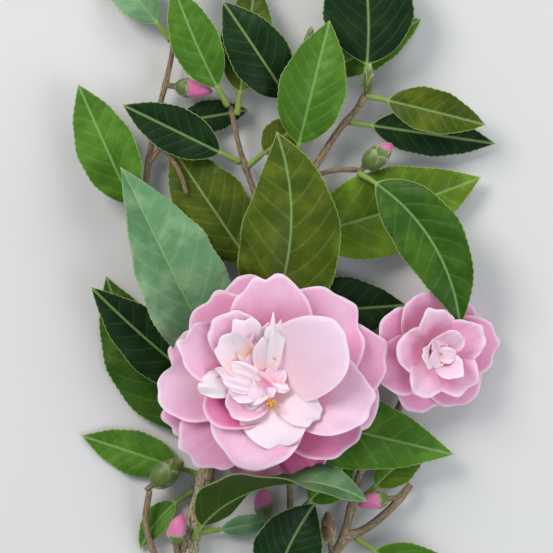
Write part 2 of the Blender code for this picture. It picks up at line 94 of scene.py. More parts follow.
class Tree:  # makes the nodes of one tree
    def __init__(self, nodeTree):
        self.nodeTree = nodeTree

    def node(self, kind, settings=None, sockets=None, output=0):
        made = self.nodeTree.nodes.new(kind)
        for key, value in (settings or {}).items():
            setattr(made, key, value)
        for key, value in (sockets or {}).items():
            self.join(value, made.inputs[key])
        return Wire(self, made.outputs[output])

    def join(self, value, socket):
        if isinstance(value, Wire):
            self.nodeTree.links.new(value.socket, socket)
        else:
            socket.default_value = value

    def math(self, operation, *values):
        return self.node("ShaderNodeMath", {"operation": operation}, dict(enumerate(values)))

    def ease(self, value, low, high):  # 0 at low, 1 at high, smooth between
        return self.node("ShaderNodeMapRange", {"interpolation_type": "SMOOTHSTEP"},
                         {0: value, 1: low, 2: high})

    def blend(self, amount, first, second):  # two colours
        return self.node("ShaderNodeMix", {"data_type": "RGBA"}, {0: amount, 6: first, 7: second}, 2)

    def vector(self, x, y, z):
        return self.node("ShaderNodeCombineXYZ", None, {0: x, 1: y, 2: z})

    def noise(self, place, scale, detail=3.0, roughness=0.5):
        return self.node("ShaderNodeTexNoise", None, {"Vector": place, "Scale": scale, "Detail": detail,
                                                      "Roughness": roughness})

    def attribute(self, name):  # in a material
        return self.node("ShaderNodeAttribute", {"attribute_name": name}, output="Fac")

    def named(self, name):  # in a geometry tree
        return self.node("GeometryNodeInputNamedAttribute", {"data_type": "FLOAT"}, {"Name": name})

    def store(self, geometry, values, domain="POINT"):  # keeps these values on a geometry, by name
        for name, value in values.items():
            geometry = self.node("GeometryNodeStoreNamedAttribute", {"data_type": "FLOAT", "domain": domain},
                                 {"Geometry": geometry, "Name": name, "Value": value})
        return geometry

    def move(self, geometry, **sockets):
        return self.node("GeometryNodeSetPosition", None, {"Geometry": geometry, **sockets})

    def finish(self, geometry, material):  # real points, with this material
        plain = self.node("GeometryNodeRealizeInstances", None, {"Geometry": geometry})
        return self.node("GeometryNodeSetMaterial", None, {"Geometry": plain, "Material": material})


def rgb(*screen):  # a screen colour, 0 to 255, as the linear one that nodes take
    linear = [c / 255 / 12.92 if c < 11 else ((c / 255 + 0.055) / 1.055) ** 2.4 for c in screen]
    return (*linear, 1.0)


def newMaterial(name, constants):
    material = bpy.data.materials.new(name)
    material.use_nodes = True
    shader = material.node_tree.nodes["Principled BSDF"]
    for key, value in constants.items():
        shader.inputs[key].default_value = value
    return material, Tree(material.node_tree), shader


def bump(tree, shader, height, depth):
    relief = tree.node("ShaderNodeBump", None, {"Distance": depth, "Height": height})
    tree.join(relief, shader.inputs["Normal"])


petalFinish = {
    "rim": rgb(245, 225, 234), "pale": rgb(236, 205, 222), "mid": rgb(224, 149, 186),
    # deep: the outer petals' own deeper pink, partly painted shade
    "deep": rgb(203, 84, 140), "cream": rgb(244, 224, 230), "heart": rgb(248, 220, 226),
    # heart and throat: pale petal feet and peach throats, partly own colour and partly painted light through
    # the petals
    "throat": rgb(253, 192, 162), "glow": rgb(255, 186, 202),
    # glow and paintedGlowStrength: a painted glow, emission that stands in for light through the petals
    "paintedGlowStrength": 0.1, "sheen": 0.1, "gloss": 0.3, "softness": 0.35,
    "roughness": 0.55, "cloudSize": 90.0, "veinStrength": 0.02, "rimWidth": 1.3, "rimStrength": 0.6,
    "relief": 0.0001,
}


def petalMaterial():
    look = petalFinish
    material, tree, shader = newMaterial("petalSatin", {
        "Subsurface Weight": look["softness"], "Subsurface Radius": (1.0, 0.6, 0.68), "Subsurface Scale": mm,
        "Sheen Weight": look["sheen"], "Sheen Roughness": 0.4, "Specular IOR Level": look["gloss"],
        "Emission Strength": look["paintedGlowStrength"]})
    along = tree.attribute("along")  # 0 at the petal's foot, 1 at its tip
    across = tree.attribute("across")  # -1 to 1
    rim = tree.attribute("rim")  # mm in from the edge
    tone = tree.attribute("tone")  # below 0 cream, 0 pale inner petal, 1 deep outer one; the deep tones are partly own pink and partly painted shade
    under = tree.attribute("under")
    peach = tree.attribute("peach")
    place = tree.node("ShaderNodeTexCoord", output="Object")
    cloud = tree.noise(place, look["cloudSize"], 3.0, 0.55)
    streak = tree.noise(tree.vector(across * 9.0, along * 1.3, tone * 7.0), 1.6, 4.0, 0.6)
    vein = tree.noise(tree.vector(across * 34.0, along * 2.2, tone * 9.0), 1.0, 2.0, 0.6)
    # toneAndShade: deeper pink by tone, with streaks and clouds; the deep end is partly own colour and partly
    # painted shade
    toneAndShade = tone * (0.6 + 0.4 * tree.ease(along, 1.0, 0.3)) + (streak - 0.5) * 0.12 + (cloud - 0.5) * 0.5
    color = tree.blend(tree.ease(toneAndShade, 0.0, 0.55), look["pale"], look["mid"])
    color = tree.blend(tree.ease(toneAndShade, 0.5, 1.1), color, look["deep"])
    veined = tree.ease(vein, 0.5, 0.75) * look["veinStrength"] * tree.ease(along, 0.1, 0.4)
    color = tree.blend(veined, color, look["deep"])
    cream = tree.ease(tone, 0.0, -0.4)
    color = tree.blend(cream, color, look["cream"])
    # pale feet and peach throats: partly own colour, partly painted light that comes through the petals into
    # the shaded centre
    color = tree.blend(tree.ease(along, 0.5, 0.04) * (1 - tone) * 0.9, color, look["heart"])
    color = tree.blend(tree.ease(along, 0.85, 0.1) * tree.math("MAXIMUM", peach, 0.12), color, look["throat"])
    color = tree.blend(under * 0.25, color, look["mid"])
    rimColor = tree.blend(cream, look["rim"], look["cream"])
    color = tree.blend(tree.ease(rim, look["rimWidth"], 0.1) * look["rimStrength"], color, rimColor)
    tree.join(color, shader.inputs["Base Color"])
    paintedGlowDeep = tree.ease(along, 0.9, 0.2) * (1 - tone)  # painted glow: emission stands in for light that comes through the petals down in the flower, with a faint painted glow on every petal
    glow = tree.blend(paintedGlowDeep * 0.85 + 0.15, (0.0, 0.0, 0.0, 1.0), look["glow"])
    tree.join(glow, shader.inputs["Emission Color"])
    tree.join(look["roughness"] + (cloud - 0.5) * 0.2, shader.inputs["Roughness"])
    grain = tree.noise(place, 1400.0, 2.0)
    bump(tree, shader, vein * 0.25 + grain * 0.3, look["relief"])
    return material


leafFinish = {
    "tints": {  # upper side, then its lighter patches
        # the tints are partly the leaves' own greens and partly painted light and shade; "blue" holds a
        # painted sky sheen
        "dark": (rgb(8, 36, 6), rgb(24, 58, 16)),
        "mid": (rgb(62, 104, 22), rgb(94, 138, 42)),
        "blue": (rgb(94, 138, 96), rgb(142, 172, 130)),
        "dusky": (rgb(74, 110, 72), rgb(114, 140, 102)),
        "olive": (rgb(58, 78, 4), rgb(100, 112, 24)),
        "bright": (rgb(76, 108, 14), rgb(116, 146, 40)),
        "deep": (rgb(40, 78, 8), rgb(74, 108, 26)),
    },
    # underside: the leaf's underside colour, darkened as painted shade
    "vein": rgb(150, 184, 112), "margin": rgb(176, 200, 116), "underside": rgb(48, 70, 5),
    "stalk": rgb(128, 152, 72), "shadedUndersideStrength": 0.96, "veinWidth": 0.063, "midribStrength": 0.5,
    "sideVein": {"dark": 0.06, "deep": 0.09}, "otherSideVein": 0.12, "marginStrength": 0.5,
    "roughness": 0.5, "gloss": 0.14, "coat": 0.05, "coatRoughness": 0.25, "patchSize": 130.0,
    "fineSize": 900.0, "relief": 0.00016,
}


def leafMaterial(tint):
    look = leafFinish
    dark, light = look["tints"][tint]
    material, tree, shader = newMaterial("leaf" + tint.capitalize(), {
        "Coat Roughness": look["coatRoughness"], "Specular IOR Level": look["gloss"]})
    along = tree.attribute("along")  # share of the blade, below 0 on the stalk
    offMidrib = tree.attribute("offMidrib")  # mm
    edge = tree.attribute("edge")  # mm in from the margin
    veinPhase = tree.attribute("veinPhase")  # whole numbers on the side veins
    under = tree.attribute("under")
    place = tree.node("ShaderNodeTexCoord", output="Object")
    patch = tree.noise(place, look["patchSize"], 4.0, 0.6)
    fine = tree.noise(place, look["fineSize"], 3.0, 0.6)
    cells = tree.node("ShaderNodeTexVoronoi", {"feature": "DISTANCE_TO_EDGE"},
                      {"Vector": place, "Scale": look["fineSize"]})
    offVein = tree.math("ABSOLUTE", tree.math("FRACT", veinPhase + 0.5) - 0.5)
    inside = tree.ease(edge, 0.4, 2.2)
    sideVein = tree.ease(offVein, look["veinWidth"], 0.0) * inside
    midrib = tree.ease(offMidrib, 0.5, 0.12)
    halo = tree.ease(offVein, 0.24, 0.0) * inside * (1 - under * 0.6)
    color = tree.blend(tree.ease(patch, 0.38, 0.72) * 0.75 + halo * 0.14, dark, light)
    color = tree.blend((fine - 0.4) * 0.3, color, dark)
    # the underside colour, darkened as painted shade
    color = tree.blend(under * look["shadedUndersideStrength"], color, look["underside"])
    sideStrength = look["sideVein"].get(tint, look["otherSideVein"])
    color = tree.blend(sideVein * (1 - under * 0.5) * sideStrength, color, look["vein"])
    color = tree.blend(midrib * look["midribStrength"], color, look["vein"])
    color = tree.blend(tree.ease(edge, 0.3, 0.08) * look["marginStrength"], color, look["margin"])
    color = tree.blend(tree.ease(along, 0.04, -0.02), color, look["stalk"])
    tree.join(color, shader.inputs["Base Color"])
    tree.join(look["roughness"] + under * 0.1 + (patch - 0.5) * 0.1, shader.inputs["Roughness"])
    tree.join((1 - under) * look["coat"], shader.inputs["Coat Weight"])
    sunkVein = (1 - tree.ease(offVein, 0.13, 0.0) * inside) * 0.32
    relief = sunkVein + tree.ease(cells, 0.0, 0.12) * 0.22 + fine * 0.12
    bump(tree, shader, relief * (1 - under * 2), look["relief"])
    return material


barkFinish = {
    "pale": rgb(212, 198, 166), "mid": rgb(164, 144, 110), "dark": rgb(66, 50, 34), "young": rgb(136, 96, 62),
    "moss": rgb(122, 130, 98), "mossStrength": 0.5, "roughness": 0.82, "gloss": 0.3, "relief": 0.00045,
}


def barkMaterial():
    look = barkFinish
    material, tree, shader = newMaterial("bark", {"Specular IOR Level": look["gloss"]})
    along = tree.attribute("along")  # mm
    young = tree.attribute("young")
    x, y = tree.attribute("roundX"), tree.attribute("roundY")
    long = tree.noise(tree.vector(x * 4.0, y * 4.0, along * 0.16), 1.3, 6.0, 0.65)
    flake = tree.noise(tree.vector(x * 2.0, y * 2.0, along * 0.4), 2.4, 4.0, 0.6)
    crack = tree.node("ShaderNodeTexVoronoi", {"feature": "DISTANCE_TO_EDGE"},
                      {"Vector": tree.vector(x * 2.4, y * 2.4, along * 0.2), "Scale": 2.2})
    crackLine = tree.ease(crack + (long - 0.5) * 0.12, 0.075, 0.0)
    color = tree.blend(tree.ease(long, 0.35, 0.65), look["mid"], look["pale"])
    color = tree.blend(tree.ease(flake, 0.5, 0.72) * look["mossStrength"], color, look["moss"])
    color = tree.blend(tree.ease(long, 0.42, 0.28) * 0.8, color, look["dark"])
    color = tree.blend(crackLine * 0.85, color, look["dark"])
    color = tree.blend(young * tree.ease(flake, 0.3, 0.6) * 0.75, color, look["young"])
    tree.join(color, shader.inputs["Base Color"])
    tree.join(look["roughness"] - young * 0.25 + (flake - 0.5) * 0.15, shader.inputs["Roughness"])
    bump(tree, shader, long * 0.8 - crackLine * (1 - young * 0.7) + flake * 0.3, look["relief"])
    return material


scaleFinish = {
    "budGreen": {"body": rgb(84, 106, 24), "tip": rgb(168, 180, 118), "base": rgb(62, 86, 10),
                 "edge": rgb(212, 210, 166), "slot": "bud_green"},
    "budPink": {"body": rgb(208, 104, 156), "tip": rgb(196, 48, 112), "base": rgb(226, 150, 186),
                "edge": rgb(244, 186, 214), "slot": "bud_pink"},
    "budBrown": {"body": rgb(112, 80, 52), "tip": rgb(70, 44, 28), "base": rgb(140, 124, 74),
                 "edge": rgb(212, 210, 166), "slot": "bud_scale"},
    "cupGreen": {"body": rgb(128, 146, 80), "tip": rgb(150, 128, 92), "base": rgb(104, 128, 58),
                 "edge": rgb(212, 210, 166), "slot": "bud_green"},
}


def scaleMaterial(name):
    look = scaleFinish[name]
    material, tree, shader = newMaterial(name, {"Sheen Weight": 0.25, "Coat Roughness": 0.3})
    along = tree.attribute("along")  # 0 at the scale's foot, 1 at its tip
    across = tree.attribute("across")  # -1 to 1
    place = tree.node("ShaderNodeTexCoord", output="Object")
    patch = tree.noise(place, 420.0, 3.0)
    line = tree.noise(tree.vector(across * 16.0, along * 1.5, 0.0), 1.0, 3.0, 0.6)
    color = tree.blend(tree.ease(along, 0.45, 0.0), look["body"], look["base"])
    color = tree.blend(tree.ease(along + (patch - 0.5) * 0.3, 0.72, 1.0) * 0.7, color, look["tip"])
    color = tree.blend(tree.ease(line, 0.45, 0.7) * 0.25, color, look["base"])
    side = tree.ease(tree.math("ABSOLUTE", across), 0.8, 1.0)
    edge = tree.math("MAXIMUM", side, tree.ease(along, 0.93, 1.0))
    color = tree.blend(edge * 0.6, color, look["edge"])
    tree.join(color, shader.inputs["Base Color"])
    tree.join(0.46 + (patch - 0.5) * 0.3, shader.inputs["Roughness"])
    tree.join(0.2 - edge * 0.2, shader.inputs["Coat Weight"])
    bump(tree, shader, line * 0.8 + patch * 0.2, 0.00015)
    return material


def plainMaterial(name, color, roughness, speckle, depth):  # one colour with soft darker specks
    material, tree, shader = newMaterial(name, {})
    place = tree.node("ShaderNodeTexCoord", output="Object")
    patch = tree.noise(place, speckle, 3.0)
    dim = tuple(c * 0.72 for c in color[:3]) + (1.0,)
    tree.join(tree.blend(tree.ease(patch, 0.3, 0.7), dim, color), shader.inputs["Base Color"])
    tree.join(roughness + (patch - 0.5) * 0.2, shader.inputs["Roughness"])
    bump(tree, shader, patch, depth)
    return material


def unit(vector):
    return vector / np.linalg.norm(vector, axis=-1, keepdims=True)


def direction(heading, rise):  # degrees: plan angle from +X, and climb
    h, r = np.radians(heading), np.radians(rise)
    return np.stack([np.cos(r) * np.cos(h), np.cos(r) * np.sin(h), np.sin(r) * np.ones_like(h)], axis=-1)


def easeIn(value, low, high):
    share = np.clip((value - low) / (high - low), 0, 1)
    return share * share * (3 - 2 * share)


class CentreLine:  # a smooth line through its points, read by the distance along it
    def __init__(self, points, taper=((0, 1), (1, 1))):
        points = np.array(points, float)
        ends = np.vstack([2 * points[0] - points[1], points, 2 * points[-1] - points[-2]])
        spots = []
        for a, b, c, d in zip(ends, ends[1:], ends[2:], ends[3:]):
            for t in np.linspace(0, 1, 12, endpoint=False):
                spots.append(0.5 * (2 * b + (c - a) * t + (2 * a - 5 * b + 4 * c - d) * t**2
                                    + (3 * b - a - 3 * c + d) * t**3))
        self.spots = np.array(spots + [points[-1]])
        steps = np.linalg.norm(np.diff(self.spots, axis=0), axis=1)
        self.distance = np.concatenate([[0.0], np.cumsum(steps)])
        self.length = self.distance[-1]
        self.taper = np.array(taper, float)

    def point(self, at):
        return np.stack([np.interp(at, self.distance, self.spots[:, axis]) for axis in range(3)], axis=-1)

    def tangent(self, at):
        reach = 0.5
        ahead, behind = np.minimum(at + reach, self.length), np.maximum(at - reach, 0.0)
        return unit(self.point(ahead) - self.point(behind))

    def radius(self, at):
        return np.interp(at, self.taper[:, 0], self.taper[:, 1])


def addObject(name, data):
    made = bpy.data.objects.new(name, data)
    bpy.context.scene.collection.objects.link(made)
    return made


def finishPiece(obj, node, material=None):
    if material:
        obj.data.materials.append(material)
    obj.data.shade_smooth()
    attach(obj, "root")
    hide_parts(node)


def pointsOf(mesh):
    points = np.zeros(len(mesh.vertices) * 3)
    mesh.vertices.foreach_get("co", points)
    return points.reshape(-1, 3)


def onSpray(points):  # mm, to metres about the spray's middle
    return (points - np.array(spray["middle"])) * mm


def pieceName(node):  # leaf_left_low becomes leafLeftLow
    first, *others = node.split("_")
    return first + "".join(word.capitalize() for word in others)


def sheetPart(top, bottom, values):  # a closed thin solid from the grids of its two sides
    rows, columns = top.shape[:2]
    index = np.arange(rows * columns).reshape(rows, columns)
    quads = np.stack([index[:-1, :-1], index[:-1, 1:], index[1:, 1:], index[1:, :-1]], axis=-1).reshape(-1, 4)
    rim = np.concatenate([index[0, :-1], index[:-1, -1], index[-1, :0:-1], index[:0:-1, 0]])
    under = rows * columns
    walls = np.stack([np.roll(rim, -1), rim, rim + under, np.roll(rim, -1) + under], axis=-1)
    faces = np.concatenate([quads, quads[:, ::-1] + under, walls])
    points = np.concatenate([top.reshape(-1, 3), bottom.reshape(-1, 3)])
    both = {key: np.tile(np.broadcast_to(v, (rows, columns)).ravel(), 2) for key, v in values.items()}
    both["under"] = np.repeat([0.0, 1.0], rows * columns)
    return points, faces, both


def newPiece(name, parts):  # parts in mm, joined into one object
    mesh = bpy.data.meshes.new(name)
    sizes = np.cumsum([0] + [len(points) for points, _, _ in parts])
    points = onSpray(np.concatenate([points for points, _, _ in parts]))
    faces = np.concatenate([faces + start for (_, faces, _), start in zip(parts, sizes)])
    mesh.from_pydata(points.tolist(), [], faces.tolist())
    for key in parts[0][2]:
        values = np.concatenate([values[key] for _, _, values in parts]).astype(np.float32)
        mesh.attributes.new(key, "FLOAT", "POINT").data.foreach_set("value", values)
    work = bmesh.new()
    work.from_mesh(mesh)
    bmesh.ops.recalc_face_normals(work, faces=work.faces)
    work.to_mesh(mesh)
    work.free()
    return addObject(name, mesh)


def newGrowth(name, inputs):  # a geometry tree with these named inputs, and its input node's wire
    group = bpy.data.node_groups.new(name, "GeometryNodeTree")
    group.interface.new_socket("Geometry", in_out="INPUT", socket_type="NodeSocketGeometry")
    group.interface.new_socket("Geometry", in_out="OUTPUT", socket_type="NodeSocketGeometry")
    for label, kind in inputs.items():
        group.interface.new_socket(label, in_out="INPUT", socket_type="NodeSocket" + kind)
    tree = Tree(group)
    return tree, tree.node("NodeGroupInput", output="Geometry")


def endGrowth(tree, geometry):
    output = tree.nodeTree.nodes.new("NodeGroupOutput")
    tree.join(geometry, output.inputs["Geometry"])
    return tree.nodeTree


def applied(holder):  # the plain mesh that an object's modifiers make, without the object
    graph = bpy.context.evaluated_depsgraph_get()
    made = bpy.data.meshes.new_from_object(holder.evaluated_get(graph))
    bpy.data.objects.remove(holder)
    return made


def grow(group, mesh, values):  # runs a geometry tree on a mesh
    holder = addObject(mesh.name, mesh)
    modifier = holder.modifiers.new("growth", "NODES")
    modifier.node_group = group
    for item in group.interface.items_tree:
        if item.name in values:
            modifier[item.identifier] = values[item.name]
    return applied(holder)


stems = {  # points in mm, and the radius at each distance along the stem
    "sides": 26, "spacing": 0.5, "collar": 0.32, "collarLength": 2.4, "swelling": 0.2,
    "swellingLength": 1.5, "relief": 0.1, "leastRelief": 0.03, "thickest": 2.6, "oldRadius": 2.0,
    "youngRadius": 0.7, "sunkFoot": 0.4, "endShare": 0.8, "clearance": 0.02,
    "main_stem": dict(
        points=[(-28.0, -91.0, 2.7), (-23.5, -71.9, 3.0), (-20.4, -59.2, 3.0), (-17.8, -49.5, 3.1),
                (-13.5, -38.0, 3.6), (-9.2, -24.0, 4.2), (-4.5, -8.0, 4.4), (0.0, 8.0, 4.4), (3.4, 24.0, 4.3),
                (5.6, 40.0, 3.8), (8.0, 56.0, 3.2)],
        taper=[(0, 2.65), (20, 2.5), (43, 1.8), (70, 1.5), (103, 1.2), (152, 0.8)]),
    "left_shoot": dict(
        parent="main_stem", at=51,
        points=[(-20.5, -31.0, 4.7), (-27.5, -16.0, 4.8), (-32.5, 0.0, 4.4), (-34.8, 16.0, 4.0),
                (-34.0, 30.0, 4.0), (-31.1, 44.1, 4.8), (-28.5, 54.5, 5.4), (-26.4, 65.9, 6.0)],
        taper=[(0, 1.25), (60, 0.9), (115, 0.65)]),
    "left_twig": dict(
        parent="left_shoot", at=76,
        points=[(-30.5, 33.6, 6.0), (-27.6, 31.0, 7.4), (-25.2, 26.6, 7.8), (-23.8, 22.0, 7.2)],
        taper=[(0, 0.75), (20, 0.55)]),
    "mid_shoot": dict(
        parent="main_stem", at=102,
        points=[(-5.0, 20.0, 5.4), (-9.5, 33.0, 6.0), (-12.2, 45.0, 6.2)],
        taper=[(0, 0.95), (42, 0.6)]),
    "right_shoot": dict(
        parent="main_stem", at=108,
        points=[(9.0, 27.0, 5.4), (16.0, 38.0, 6.6), (20.9, 43.8, 7.6), (23.3, 47.7, 8.6)],
        taper=[(0, 1.1), (45, 0.75)]),
    "right_twig": dict(
        parent="right_shoot", at=15,
        points=[(15.0, 28.0, 6.2), (21.5, 28.2, 7.0)],
        taper=[(0, 0.75), (14, 0.6)]),
    "lower_branch": dict(
        parent="main_stem", at=8,
        points=[(-13.0, -88.0, 3.2), (1.0, -85.0, 3.2), (12.5, -77.0, 3.4), (18.1, -69.6, 4.0),
                (22.5, -67.5, 4.4), (26.9, -64.4, 4.8), (31.3, -60.2, 5.0), (35.5, -55.0, 5.2)],
        taper=[(0, 1.7), (40, 1.35), (90, 0.8)]),
    "centre_twig": dict(
        parent="lower_branch", at=26,
        points=[(2.6, -75.0, 3.6), (3.6, -62.0, 3.8), (3.4, -52.0, 3.8), (4.4, -42.0, 3.6)],
        taper=[(0, 1.0), (45, 0.7)]),
    "bloom_twig": dict(
        parent="lower_branch", at=51,
        points=[(20.2, -60.0, 3.6), (22.5, -51.6, 3.4), (26.6, -46.4, 3.2), (31.0, -38.0, 3.0),
                (35.6, -28.0, 2.8)],
        taper=[(0, 1.1), (50, 0.9)]),
    "left_bud_twig": dict(
        parent="main_stem", at=9,
        points=[(-31.0, -76.5, 3.6), (-34.6, -66.0, 4.4), (-33.6, -56.6, 5.6)],
        taper=[(0, 1.0), (30, 0.8)]),
}


def stemLines():
    lines = {}
    for name, stem in stems.items():
        if not isinstance(stem, dict):
            continue
        points = list(stem["points"])
        if "parent" in stem:
            points.insert(0, tuple(lines[stem["parent"]].point(stem["at"])))
        lines[name] = CentreLine(points, stem["taper"])
    return lines


def barkTree():  # a line with thickness, along and young on it becomes a tube with the bark's relief
    tree, start = newGrowth("barkedStem", {"Sides": "Int", "Relief": "Float", "Finish": "Material"})
    line = tree.node("GeometryNodeMeshToCurve", None, {"Mesh": start})
    ring = tree.node("GeometryNodeCurvePrimitiveCircle", None, {
        "Resolution": start.out("Sides"), "Radius": 1.0})
    place = tree.node("ShaderNodeSeparateXYZ", None, {0: tree.node("GeometryNodeInputPosition")})
    ring = tree.store(ring, {"roundX": place, "roundY": place.out("Y")})
    tube = tree.node("GeometryNodeCurveToMesh", None, {"Curve": line, "Profile Curve": ring,
                                                       "Scale": tree.named("thickness"), "Fill Caps": True})
    along = tree.named("along")
    x, y = tree.named("roundX"), tree.named("roundY")
    ridge = tree.noise(tree.vector(x * 2.6, y * 2.6, along * 0.13), 1.6, 4.0, 0.6)
    knob = tree.noise(tree.vector(x, y, along * 0.45), 1.1, 2.0, 0.5)
    relief = start.out("Relief") * (1 - tree.named("young") * 0.6)
    amount = ((ridge - 0.5) * 2.0 + (knob - 0.5) * 1.2) * relief
    shift = tree.node("ShaderNodeVectorMath", {"operation": "SCALE"},
                      {0: tree.node("GeometryNodeInputNormal"), "Scale": amount})
    return endGrowth(tree, tree.finish(tree.move(tube, Offset=shift), start.out("Finish")))


def stemMesh(name, spots, radii, along, group, sides, relief, material):
    line = bpy.data.meshes.new(name)
    line.from_pydata(onSpray(np.array(spots)).tolist(), [(k, k + 1) for k in range(len(spots) - 1)], [])
    radii = np.array(radii)
    age = (radii - stems["youngRadius"]) / (stems["oldRadius"] - stems["youngRadius"])
    for key, values in (("thickness", radii * mm), ("along", along), ("young", 1 - np.clip(age, 0, 1))):
        line.attributes.new(key, "FLOAT", "POINT").data.foreach_set("value", np.array(values, np.float32))
    mesh = grow(group, line, {"Sides": sides, "Relief": relief * mm, "Finish": material})
    points = pointsOf(mesh)
    points[:, 2] = np.maximum(points[:, 2], stems["clearance"] * mm)  # it lies on the table
    mesh.vertices.foreach_set("co", points.ravel())
    return mesh


def buildStems(lines, joints, material):
    group = barkTree()
    for name, line in lines.items():
        start = 0.0
        if "parent" in stems[name]:
            parent = lines[stems[name]["parent"]]
            start = parent.radius(stems[name]["at"]) * stems["sunkFoot"]  # its foot sits in the parent
        along = np.linspace(start, line.length, math.ceil((line.length - start) / stems["spacing"]) + 1)
        radii = line.radius(along)
        if start:
            radii = radii * (1 + stems["collar"] * np.exp(-((along - start) / stems["collarLength"]) ** 2))
        for at in joints[name]:
            radii = radii * (1 + stems["swelling"] * np.exp(-((along - at) / stems["swellingLength"]) ** 2))
        radii[-1] *= stems["endShare"]
        relief = stems["relief"] * float(line.radius(0)) / stems["thickest"] + stems["leastRelief"]
        mesh = stemMesh(name, line.point(along), radii, along, group, stems["sides"], relief, material)
        finishPiece(addObject(pieceName(name), mesh), name)
    print("stems:", len(lines))
    return group


# Leaves: where on its stem, heading and rise as it leaves it, the blade's length and width, then how the
# leaf's path arches down and turns, how the blade rolls at its foot and twists to its tip, and how steeply
# its halves fold up.
leaves = {
    "stalk": 4.5, "stalkRadius": 0.75, "stalkCorner": 1.0, "sunkFoot": 1.2, "thickness": 0.5,
    "rowSpacing": 0.45,
    "columns": (0.0, 0.03, 0.07, 0.13, 0.22, 0.33, 0.45, 0.58, 0.7, 0.81, 0.9, 0.965, 1.0),
    "toothPitch": 1.7, "toothDepth": 0.3, "veinsPerSide": 8.5, "veinSlant": 0.72, "veinBend": 0.035,
    "quilt": 0.08, "dome": 0.05, "wave": 0.035, "groove": 0.2, "grooveWidth": 0.4,
    "keel": 0.55, "keelWidth": 0.55,
    "leaf_left_large": dict(tint="blue", stem="main_stem", at=62, heading=116, rise=22, length=60, width=26,
                            arch=25, roll=4, twist=36, fold=22),
    "leaf_behind_bloom": dict(tint="olive", stem="main_stem", at=71, heading=58, rise=20, length=54,
                              width=27, arch=24, turn=52),
    "leaf_right_low": dict(tint="mid", stem="main_stem", at=60, heading=-13, rise=8, length=54, width=21,
                           arch=8, roll=-4, fold=12),
    "leaf_twisted": dict(tint="dusky", stem="main_stem", at=19.5, heading=62, rise=42, length=51,
                         width=21.5, arch=60, turn=-95, roll=-163, twist=135, fold=18),
    "leaf_bottom": dict(tint="dark", stem="lower_branch", at=26, heading=80, rise=40, length=24.5,
                        width=18.5, arch=56, turn=-28),
    "leaf_stem_left": dict(tint="mid", stem="main_stem", at=37, heading=212, rise=-5, length=16, width=7.5,
                           arch=-2, turn=34, roll=20),
    "leaf_left_low": dict(tint="deep", stem="main_stem", at=46, heading=134, rise=-3, length=48, width=20,
                          arch=-1, turn=-26, fold=2),
    "leaf_left_under": dict(tint="mid", stem="main_stem", at=39, heading=162, rise=-6, length=28, width=12,
                            arch=-6, fold=2),
    "leaf_left_dark": dict(tint="dark", stem="main_stem", at=59, heading=143, rise=18, length=42, width=16,
                           arch=23, turn=-8),
    "leaf_pale_low": dict(tint="blue", stem="main_stem", at=23.5, heading=6, rise=-6, length=15, width=5.5,
                          arch=-3, turn=10, fold=4),
    "leaf_right_bright": dict(tint="bright", stem="main_stem", at=104, heading=14, rise=3, length=50,
                              width=23, arch=7, turn=8, fold=6),
    "leaf_upper_left": dict(tint="olive", stem="main_stem", at=92, heading=124, rise=4, length=38, width=20,
                            arch=8, fold=5),
    "leaf_leader_right": dict(tint="mid", stem="main_stem", at=122, heading=76, rise=27, length=34,
                              width=18, arch=36),
    "leaf_leader_left": dict(tint="dark", stem="main_stem", at=138, heading=124, rise=34, length=31,
                             width=16, arch=50),
    "leaf_leader_tip": dict(tint="mid", stem="main_stem", at=146, heading=30, rise=8, length=30, width=12,
                            arch=26),
    "leaf_mid_low": dict(tint="olive", stem="mid_shoot", at=23, heading=41, rise=1, length=14, width=10,
                         arch=4, fold=4),
    "leaf_mid_left": dict(tint="dark", stem="mid_shoot", at=24, heading=154, rise=12, length=29, width=13,
                          arch=18),
    "leaf_mid_tip": dict(tint="mid", stem="mid_shoot", at=38, heading=120, rise=26, length=30, width=13,
                         arch=34, turn=-12),
    "leaf_mid_end": dict(tint="olive", stem="mid_shoot", at=34, heading=82, rise=2, length=31, width=14,
                         arch=8, fold=8),
    "leaf_top_right": dict(tint="dark", stem="right_shoot", at=40, heading=82, rise=8, length=34, width=24,
                           arch=12, turn=22, fold=6),
    "leaf_right_olive": dict(tint="olive", stem="right_shoot", at=42, heading=-14, rise=16, length=27,
                             width=12, arch=30),
    "leaf_right_dark": dict(tint="dark", stem="right_shoot", at=33, heading=-8, rise=-8, length=34,
                            width=12, arch=-4, fold=6),
    "leaf_right_edge": dict(tint="deep", stem="right_twig", at=12, heading=-30, rise=27, length=46,
                            width=18, arch=46, turn=-54),
    "leaf_left_tip": dict(tint="blue", stem="left_shoot", at=112, heading=62, rise=18, length=27, width=14,
                          arch=26),
    "leaf_left_bud": dict(tint="dark", stem="left_shoot", at=86, heading=10, rise=-8, length=19, width=9,
                          arch=-5, fold=3),
    "leaf_left_end": dict(tint="blue", stem="left_shoot", at=108, heading=128, rise=2, length=25, width=12,
                          arch=24),
    "leaf_left_outer": dict(tint="mid", stem="left_shoot", at=56, heading=114, rise=14, length=35, width=16,
                            arch=22),
    "leaf_corner": dict(tint="mid", stem="lower_branch", at=54, heading=-34, rise=4, length=32, width=18,
                        arch=20),
    "leaf_spur": dict(tint="bright", stem="bloom_twig", at=9, heading=43, rise=3, length=19, width=10,
                      arch=8, fold=6),
    "leaf_centre_right": dict(tint="mid", stem="centre_twig", at=22, heading=44, rise=0, length=17,
                              width=11, arch=0),
    "leaf_right_under": dict(tint="dark", stem="main_stem", at=84, heading=4, rise=0, length=33, width=18,
                             arch=2, fold=4),
}


def footOf(line, at, heading, rise, radius):  # where a piece leaves its stem, as in the solids
    way = direction(heading, rise)
    along = abs(float(way @ line.tangent(at)))
    across = max(math.sqrt(1 - along**2), 0.42)
    return line.point(at) + way * (line.radius(at) + spray["gap"] + radius * along) / across


def leafOutline(blade):
    inside = np.clip(blade, 1e-6, 1 - 1e-6)
    foot, tip = 0.8, 1.05  # how full it is at either end
    widest = foot / (foot + tip)
    return (inside / widest) ** foot * ((1 - inside) / (1 - widest)) ** tip


